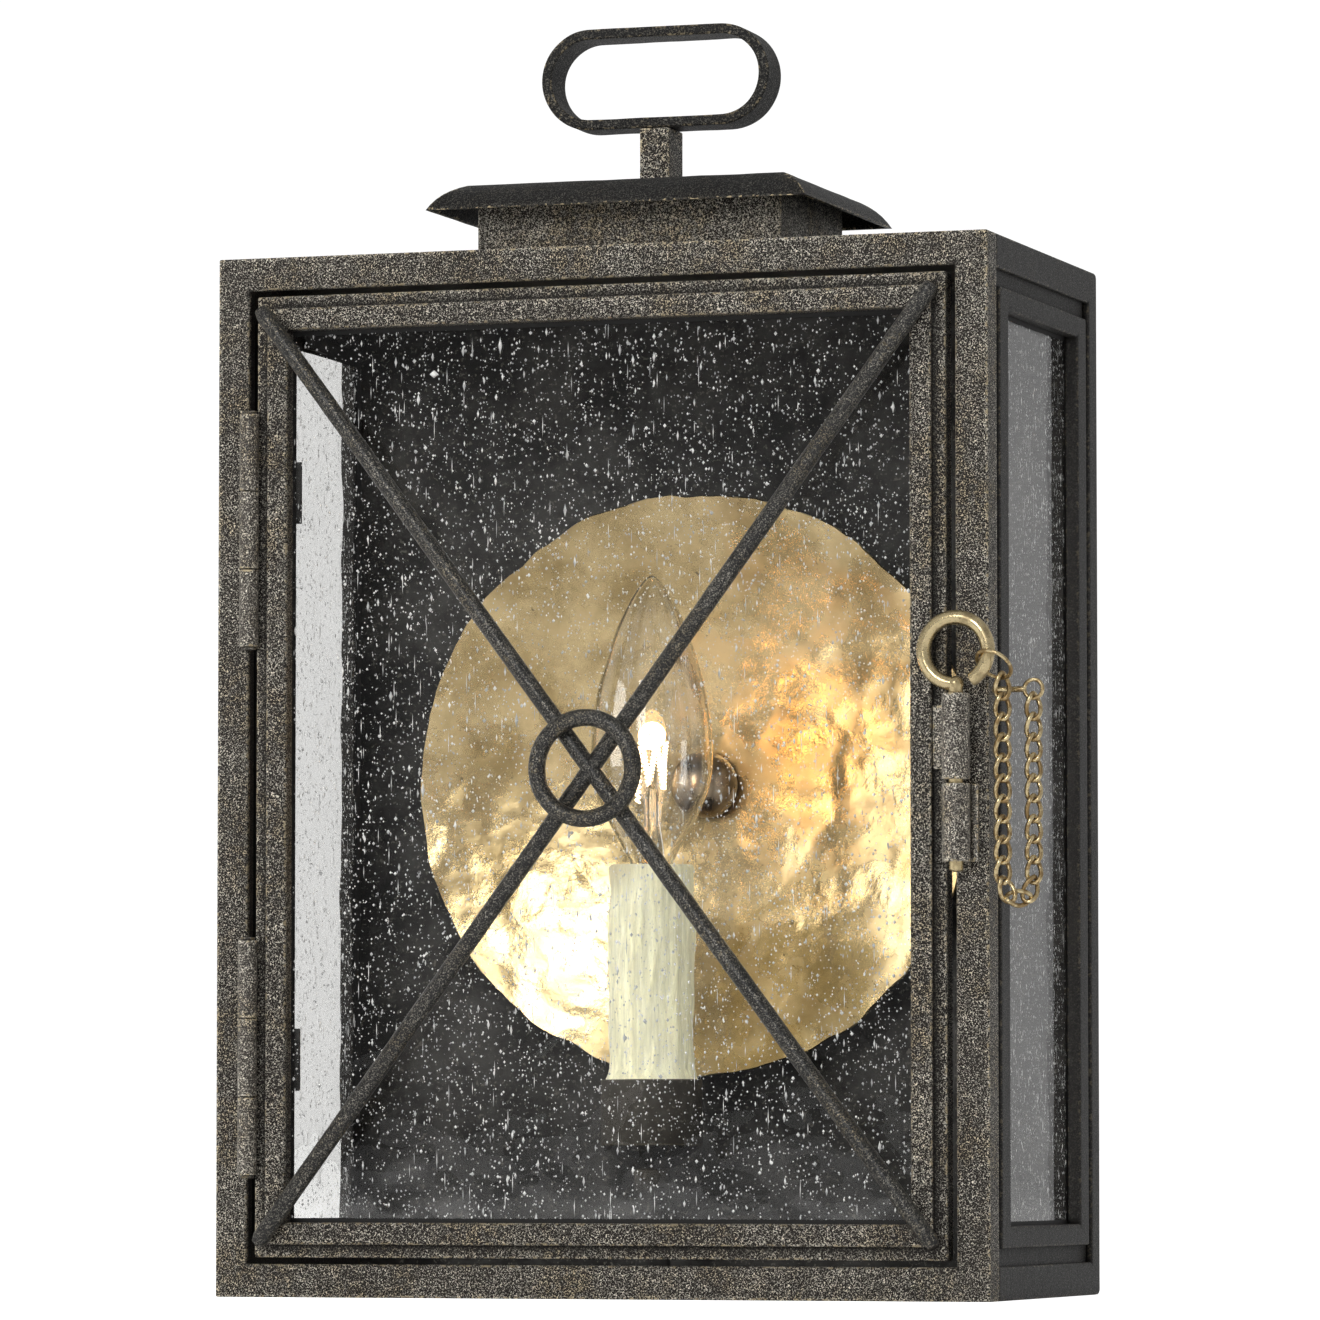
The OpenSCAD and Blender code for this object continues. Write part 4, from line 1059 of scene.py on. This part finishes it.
def chain_joints():
    """Where the links meet, along the chain's two strands and its round bottom."""
    radius = CHAIN_ACROSS.length / 2
    bend_z = CHAIN_BOTTOM + radius
    fall, bend, rise = CHAIN_START.z - bend_z, math.pi * radius, CHAIN_END.z - bend_z
    pitch = (fall + bend + rise) / CHAIN_LINKS
    joints = []
    for i in range(CHAIN_LINKS + 1):
        run = i * pitch
        if run < fall:
            out, height = 0, CHAIN_START.z - run
        elif run < fall + bend:
            turn = (run - fall) / radius
            out, height = radius * (1 - math.cos(turn)), bend_z - radius * math.sin(turn)
        else:
            out, height = 2 * radius, bend_z + run - fall - bend
        joints.append(Vector((CHAIN_START.x, CHAIN_START.y, height)) + CHAIN_ACROSS.normalized() * out)
    return joints


def curb_link(a, b):
    """Centre line of one twisted link between two joints."""
    middle = (a + b) / 2
    along = (a - b).normalized()
    front = Vector((0, 0, 1)).cross(CHAIN_ACROSS).normalized()
    side = front.cross(along).normalized()
    half_long = (LINK_LENGTH + CHAIN_WIRE) / 2
    half_wide = (LINK_WIDTH + CHAIN_WIRE) / 2
    points = []
    for i in range(18):
        turn = 2 * math.pi * i / 18
        out = half_wide * math.copysign(abs(math.cos(turn)) ** 0.8, math.cos(turn))
        up = half_long * math.sin(turn)
        twist = LINK_TWIST * math.sin(turn)
        point = middle + along * up + side * (out * math.cos(twist))
        points.append(point + front * (out * math.sin(twist)))
    return points


def below_the_chain(point):
    """The place as far below the chain's lowest point as the given point is above it."""
    return (point.x, point.y, CHAIN_BOTTOM - (point.z - CHAIN_BOTTOM))


class LANTERN_OT_chain(bpy.types.Operator):
    """Links the curb chain between the pin's jump ring and the eyelet on the frame"""

    bl_idname = "lantern.chain"
    bl_label = "Chain"

    def execute(self, context):
        joints = chain_joints()
        pairs = list(zip(joints, joints[1:]))
        strands = (
            ("chain_pin_side", pairs[:PIN_SIDE_LINKS], below_the_chain(CHAIN_START), tuple(CHAIN_START)),
            ("chain_frame_side", pairs[PIN_SIDE_LINKS:], tuple(CHAIN_END), below_the_chain(CHAIN_END)),
        )
        for node, links, start, end in strands:
            mesh = drawn_wire(node, [curb_link(a, b) for a, b in links], DRAWN_WIRE_RADIUS, 2, closed=True)
            piece = place_piece(f"{node}_links", mesh, "chain_brass", node, rides=False, smooth=math.pi)
            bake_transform(piece)
        return {"FINISHED"}


def along_the_rim(angle, layer, waves):
    """Smooth unevenness between -1 and 1, with about that many swells in a radian."""
    return noise.noise(Vector((math.cos(angle), math.sin(angle), layer)) * waves)


def hammered_disc(node):
    """The dished disc: hammer marks all over, and a rim that was cut and bent by hand."""
    reflector = bpy.context.scene.lantern_reflector
    depth, cut = reflector.dimple_depth, reflector.rim_cut
    low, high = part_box(node)
    rim, thick, hole = (high.x - low.x) / 2, 0.001, 0.0051
    dish = (high.y - low.y) - thick
    curve = (rim * rim + dish * dish) / (2 * dish)
    rings, rim_band, rim_lift = 62, 0.14, 0.0008
    washer, washer_margin = 0.0085, 0.004
    sway, sway_length = 0.0006, 0.045
    profile = []
    for i in range(rings + 1):
        radius = hole + (rim - hole) * i / rings
        profile.append((radius, -(curve - math.sqrt(curve ** 2 - radius ** 2))))
    bm = lathe(profile, (0, high.y - thick, 0), (0, 1, 0), 220)
    for vert in bm.verts:
        flat = Vector((vert.co.x, 0, vert.co.z))
        radius = math.hypot(flat.x, flat.z)
        angle = math.atan2(flat.z, flat.x)
        near = noise.voronoi(flat / reflector.dimple_size, distance_metric="DISTANCE", exponent=2.5)[0][0]
        small = noise.voronoi(flat / (0.55 * reflector.dimple_size) + Vector((9, 3, 5)))[0][0]
        height = depth * (min(1, near * 1.15) ** 2 - 0.35) + 0.35 * depth * (small ** 2 - 0.4)
        height += sway * noise.noise(flat / sway_length)
        outer = max(0, radius / rim - (1 - rim_band)) / rim_band
        bite = cut * (0.5 + 0.5 * along_the_rim(angle, 0, 5.5))
        bite += 0.45 * cut * (0.5 + 0.5 * along_the_rim(angle, 3, 19))
        lift = outer ** 2 * rim_lift * (along_the_rim(angle, 7, 4) + 1)
        shrink = 1 - outer ** 2 * bite / radius
        vert.co.x *= shrink
        vert.co.z *= shrink
        calm = min(1, max(0, radius - washer) / washer_margin)
        vert.co.y += -abs(height) * calm if radius > 0.5 * rim else -max(height, -0.0002) * calm * 0.9
        vert.co.y += lift
    bmesh.ops.recalc_face_normals(bm, faces=bm.faces)
    bm.normal_update()
    if sum(face.normal.y for face in bm.faces) > 0:
        bmesh.ops.reverse_faces(bm, faces=bm.faces)
    bmesh.ops.solidify(bm, geom=bm.faces[:], thickness=thick)
    bmesh.ops.recalc_face_normals(bm, faces=bm.faces)
    place_piece("reflector_hammered", bm, "hammered_brass", node)


def dome_nut(node):
    """The dome nut: a round crown over a blind bore, with a small bevel at its foot."""
    low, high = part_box(node)
    reach = (high.x - low.x) / 2
    base = (high.y - low.y) - reach
    bevel, bore, bore_depth = 0.0006, 0.0049, 0.007
    turns = [math.radians(angle) for angle in range(0, 90, 5)]
    outline = [(reach * math.sin(turn), base + reach * math.cos(turn)) for turn in turns]
    outline += [(reach, base), (reach, bevel), (reach - bevel, 0)]
    outline += [(bore, 0), (bore, bore_depth), (0, bore_depth)]
    bm = lathe(outline, (0, high.y, 0), (0, -1, 0), 72)
    crown = np.clip(((high.y - coordinates(bm)[:, 1]) - 0.6 * reach) / (0.6 * reach), 0, 1)
    store(bm, "wear", crown * 0.6)
    place_piece("dome_nut_finished", bm, "bronzed_brass", node)


class LANTERN_OT_reflector(bpy.types.Operator):
    """Hammers the dished brass reflector and finishes its dome nut and washer"""

    bl_idname = "lantern.reflector"
    bl_label = "Reflector"

    def execute(self, context):
        hammered_disc("reflector_disc")
        dressed("reflector_washer", rounding=0.0002, bands=False)
        dome_nut("dome_nut")
        return {"FINISHED"}


class LANTERN_OT_wall_fixing(bpy.types.Operator):
    """Finishes the nipple, crossbar, lock nut, earth screw and wire bushing at the back"""

    bl_idname = "lantern.wall_fixing"
    bl_label = "Wall fixing"

    def execute(self, context):
        dressed("wall_crossbar", rounding=0.0003, bands=False)
        dressed("nipple_lock_nut", rounding=0.0003, bands=False)
        dressed("threaded_nipple", rounding=0.0002, bands=False)
        dressed("ground_screw", rounding=0.0002, bands=False)
        dressed("wire_bushing", rounding=0.0003, bands=False)
        return {"FINISHED"}


def wax_swell(away, share, waves, rows, layer=0):
    """Smooth unevenness of the wax between -1 and 1, round the sleeve and up it."""
    return noise.noise(Vector((away.x * waves, away.y * waves, share * rows + layer)))


def wax_sleeve(node):
    """The candle's wax sleeve: ridged and dripped all over, plain at its seat, and stained near its top."""
    foot, outer, tall = upright(node)
    wall, deepest = 0.0016, 0.0014
    seat, seat_blend = 0.004, 0.003
    ridge_depth, fine_depth, drip_depth, rim_sag = 0.0004, 0.0002, 0.0007, 0.0018
    rows = 46
    outline = [(outer, tall * i / rows) for i in range(rows + 1)]
    outline += [(outer - wall, tall), (outer - wall, tall * 0.5), (outer - wall, 0)]
    bm = lathe(outline, foot, (0, 0, 1), 120, closed=True)
    for vert in bm.verts:
        away = Vector((vert.co.x - foot[0], vert.co.y - foot[1], 0))
        if away.length < outer - 0.7 * wall:
            continue
        away.normalize()
        rise = vert.co.z - foot[2]
        share = rise / tall
        ridge = wax_swell(away, share, 4.2, 1.2)
        fine = wax_swell(away, share, 13, 3, 4)
        drip = wax_swell(away, share, 3.1, 5, 9)
        sink = ridge_depth * (1 + ridge) + fine_depth * (1 + fine) + drip_depth * max(0, 1 + 1.6 * drip)
        vert.co -= away * min(sink * min(1, max(0, rise - seat) / seat_blend), deepest)
        if share > 0.97:
            vert.co.z -= rim_sag * (0.5 + 0.5 * noise.noise(away * 2.3))
    points = coordinates(bm)
    side = (points[:, 0] - foot[0]) / outer
    height = (points[:, 2] - foot[2]) / tall
    store(bm, "stain", np.clip((height - 0.8) / 0.2, 0, 1) * np.clip(0.4 - side, 0, 1))
    place_piece(f"{node}_wax", bm, "ivory_sleeve", node)


class LANTERN_OT_candle(bpy.types.Operator):
    """Makes the candle: stem, cup, wax sleeve with drips, and the lampholder in it"""

    bl_idname = "lantern.candle"
    bl_label = "Candle"

    def execute(self, context):
        dressed("candle_stem", rounding=0.0003, bands=False)
        dressed("candle_cup", rounding=0.0004, bands=False)
        dressed("lampholder", rounding=0.0003, bands=False)
        wax_sleeve("candle_sleeve")
        return {"FINISHED"}


def screw_cap(node):
    """The lamp's cap, with a rolled thread and a plain collar over it."""
    foot, radius, tall = upright(node)
    groove, turns, thread_share = 0.00045, 7, 0.75
    collar_sink, thread_foot, steps = 0.0002, 0.0034, 48
    outline = [(0, 0), (0.4 * radius, 0), (0.8 * radius, 0.003)]
    for i in range(steps + 1):
        share = i / steps
        sink = collar_sink
        if share < thread_share:
            sink = groove * (0.5 - 0.5 * math.cos(2 * math.pi * share * turns))
        outline.append((radius - sink, thread_foot + (tall - thread_foot) * share))
    outline.append((0, tall))
    place_piece(f"{node}_screw", lathe(outline, foot, (0, 0, 1), 48), "lamp_cap_brass", node)


def clear_envelope(node):
    """The flame-shaped bulb, a thin wall of glass that is open at its neck and closed at its tip."""
    foot, widest, tall = upright(node)
    neck, belly, wall = 0.0058, 0.36, 0.0007

    def girth(share):
        if share < belly:
            return neck + (widest - neck) * math.sin(math.pi / 2 * share / belly) ** 1.3
        return widest * max(0, math.cos(math.pi / 2 * (share - belly) / (1 - belly))) ** 0.66

    heights = [1 - (1 - i / 60) ** 1.35 for i in range(61)]
    outside = [(girth(share), tall * share) for share in heights]
    inside = [(max(0, radius - wall), min(height, tall - wall)) for radius, height in reversed(outside)]
    outside[-1] = (0, tall)
    inside[0] = (0, tall - wall)
    bm = lathe(outside + inside, foot, (0, 0, 1), 72, closed=True)
    place_piece(f"{node}_clear", bm, "clear_glass", node, smooth=math.pi)


def lit_filament(node):
    """The glass stem, its wires and the coiled filament hung on them, as three pieces."""
    foot, reach, tall = upright(node)
    foot = Vector(foot)
    top = foot + Vector((0, 0, tall - reach))
    lead_radius, coil_wire_radius, coil_radius = 0.00022, 0.00030, 0.0006
    stem = [(0, 0), (0.0042, 0), (0.0036, 0.004), (0.0021, 0.014)]
    stem += [(0.0019, 0.022), (0.0008, 0.024), (0, 0.0243)]
    place_piece("lamp_glass_stem", lathe(stem, foot, (0, 0, 1), 32), "clear_glass", node, smooth=math.pi)

    leads = [
        [
            foot + Vector((side * 0.0012, 0, 0.012)),
            foot + Vector((side * 0.0016, 0, 0.024)),
            foot + Vector((side * (reach - 0.0008), 0, 0.029)),
            top + Vector((side * (reach - 0.0006), 0, -0.002)),
        ]
        for side in (-1, 1)
    ]
    leads.append([
        foot + Vector((0, 0, 0.023)),
        foot + Vector((0, 0.0012, 0.034)),
        top + Vector((0, 0.0008, -0.001)),
    ])
    wires = drawn_wire("leads", leads, lead_radius, 1)
    place_piece("lamp_leads", wires, "bright_wire", node, smooth=math.pi)

    turns, steps = 64, 768
    wide, low_z = reach - 0.0012, -0.019
    bends = [
        Vector((-wide, 0, low_z)),
        Vector((-0.8 * wide, 0.0004, 0)),
        Vector((-0.25 * wide, 0.001, low_z * 0.75)),
        Vector((0.25 * wide, 0.001, -0.001)),
        Vector((0.8 * wide, 0.0004, low_z * 0.8)),
        Vector((wide, 0, -0.002)),
    ]
    coil = []
    for i in range(steps + 1):
        run = i / steps * (len(bends) - 1)
        at = min(int(run), len(bends) - 2)
        middle = top + bends[at].lerp(bends[at + 1], run - at)
        turn = 2 * math.pi * turns * i / steps
        coil.append(middle + Vector((coil_radius * math.cos(turn), coil_radius * math.sin(turn), 0)))
    glowing = drawn_wire("coil", [coil], coil_wire_radius, 1)
    place_piece(f"{node}_coil", glowing, "filament", node, smooth=math.pi)
    return top


class LANTERN_OT_lamp(bpy.types.Operator):
    """Makes the flame-shaped lamp: screw cap, clear envelope, glass stem and lit filament"""

    bl_idname = "lantern.lamp"
    bl_label = "Lamp"

    def execute(self, context):
        settings = context.scene.lantern_lamp
        screw_cap("lamp_cap")
        clear_envelope("lamp_envelope")
        top = lit_filament("lamp_filament")
        light = bpy.data.lights.new("lamp_light", "POINT")
        light.color = settings.glow
        light.energy = settings.power
        light.shadow_soft_size = 0.004
        glow = bpy.data.objects.new("lamp_light", light)
        glow.location = top
        context.scene.collection.objects.link(glow)
        return {"FINISHED"}


def lay_floor(scene):
    """A wide round floor under the lantern."""
    bm = bmesh.new()
    level = Matrix.Translation((0, 0, CAD_BOUNDS[0][2]))
    bmesh.ops.create_circle(bm, cap_ends=True, segments=96, radius=60, matrix=level)
    mesh = bpy.data.meshes.new("floor")
    bm.to_mesh(mesh)
    bm.free()
    mesh.materials.append(finish("floor_paint"))
    floor = bpy.data.objects.new("floor", mesh)
    scene.collection.objects.link(floor)


def hang_lights(scene):
    """Five soft lights. Only the key and the golden one are seen in metal and glass."""
    stage = scene.lantern_stage
    aim = Vector((0, -0.06, 0.03))
    lights = (
        ("key", (-0.14, -2.55, 0.95), 0.75, stage.key, (1.0, 0.99, 0.97)),
        ("side", (-2.0, -1.5, 0.45), 1.2, stage.side, (1.0, 0.99, 0.98)),
        ("warm", (-1.45, -1.75, 0.22), 0.22, stage.warm, (1.0, 0.58, 0.22)),
        ("fill", (2.2, -0.9, 0.6), 1.2, stage.fill, (0.98, 0.99, 1.0)),
        ("top", (0.1, -0.4, 2.2), 1.3, stage.top, (1.0, 1.0, 1.0)),
    )
    for name, spot, size, power, tone in lights:
        light = bpy.data.lights.new(name, "AREA")
        light.size = size
        light.energy = power
        light.color = tone
        lamp = bpy.data.objects.new(name, light)
        lamp.location = spot
        lamp.rotation_euler = (aim - Vector(spot)).to_track_quat("-Z", "Y").to_euler()
        lamp.visible_glossy = name in ("key", "warm")
        scene.collection.objects.link(lamp)


def surround(scene):
    """White where the eye looks past the lantern. What lights it is a dim room with a paler wall behind."""
    stage = scene.lantern_stage
    world = bpy.data.worlds.new("studio")
    world.use_nodes = True
    scene.world = world
    nodes = Nodes(world.node_tree)
    way = nodes.new("TexCoord").outputs["Generated"]
    toward = nodes.new("VectorMath", operation="DOT_PRODUCT")
    nodes.put(toward.inputs[0], way)
    toward.inputs[1].default_value = Vector(DARK_DOORWAY).normalized()
    room = nodes.ramp(toward.outputs["Value"], 0.980, 0.996, stage.room, 0.22 * stage.room)
    parts = nodes.new("SeparateXYZ")
    nodes.put(parts.inputs[0], way)
    strength = nodes.ramp(parts.outputs["Y"], -0.15, 0.55, room, stage.back)
    pure_white = 1.05
    backgrounds = []
    for level in (strength, pure_white):
        background = nodes.new("Background")
        nodes.put(background.inputs["Color"], (1, 1, 1))
        nodes.put(background.inputs["Strength"], level)
        backgrounds.append(background.outputs[0])
    out = nodes.new("OutputWorld")
    nodes.put(out.inputs["Surface"], nodes.either(nodes.seen_directly(), *backgrounds))


def place_camera(scene):
    """The camera, low in front and to the right."""
    camera = bpy.data.cameras.new("camera")
    camera.lens = scene.lantern_stage.lens
    camera.sensor_width = 36
    camera.clip_end = 200
    eye = bpy.data.objects.new("camera", camera)
    spot, aim = Vector((0.6879, -2.0997, -0.1048)), Vector((-0.0004, -0.057, 0.0342))
    eye.location = spot
    eye.rotation_euler = (aim - spot).to_track_quat("-Z", "Y").to_euler()
    scene.collection.objects.link(eye)
    scene.camera = eye


class LANTERN_OT_stage(bpy.types.Operator):
    """Lays the floor, and sets the lights, the surroundings and the camera"""

    bl_idname = "lantern.stage"
    bl_label = "Stage"

    def execute(self, context):
        scene = context.scene
        scene.view_settings.view_transform = "Standard"
        lay_floor(scene)
        hang_lights(scene)
        surround(scene)
        place_camera(scene)
        return {"FINISHED"}


class LANTERN_PT_panel(bpy.types.Panel):
    """Lists the lantern's settings and the operators that make it"""

    bl_idname = "LANTERN_PT_panel"
    bl_label = "Lantern"
    bl_space_type = "VIEW_3D"
    bl_region_type = "UI"
    bl_category = "Lantern"

    def draw(self, context):
        for group in GROUPS:
            box = self.layout.box()
            box.label(text=group.__doc__)
            for name in group.__annotations__:
                box.prop(getattr(context.scene, GROUPS[group]), name)
        for operator in OPERATORS:
            self.layout.operator(operator.bl_idname)


GROUPS = {
    LanternMetal: "lantern_metal",
    LanternGlass: "lantern_glass",
    LanternReflector: "lantern_reflector",
    LanternLamp: "lantern_lamp",
    LanternStage: "lantern_stage",
}

OPERATORS = (
    LANTERN_OT_stage,
    LANTERN_OT_body,
    LANTERN_OT_windows,
    LANTERN_OT_roof,
    LANTERN_OT_door,
    LANTERN_OT_hinges,
    LANTERN_OT_latch,
    LANTERN_OT_chain,
    LANTERN_OT_reflector,
    LANTERN_OT_wall_fixing,
    LANTERN_OT_candle,
    LANTERN_OT_lamp,
)


def register():
    """Adds the classes and the settings."""
    for group in (*GROUPS, *OPERATORS, LANTERN_PT_panel):
        bpy.utils.register_class(group)
    for group, name in GROUPS.items():
        setattr(bpy.types.Scene, name, PointerProperty(type=group))


def unregister():
    """Takes them away again."""
    for name in GROUPS.values():
        delattr(bpy.types.Scene, name)
    for group in reversed((*GROUPS, *OPERATORS, LANTERN_PT_panel)):
        bpy.utils.unregister_class(group)


def main():
    """Makes the whole lantern."""
    register()
    for operator in OPERATORS:
        family, name = operator.bl_idname.split(".")
        getattr(getattr(bpy.ops, family), name)()


if __name__ == "__main__":
    main()
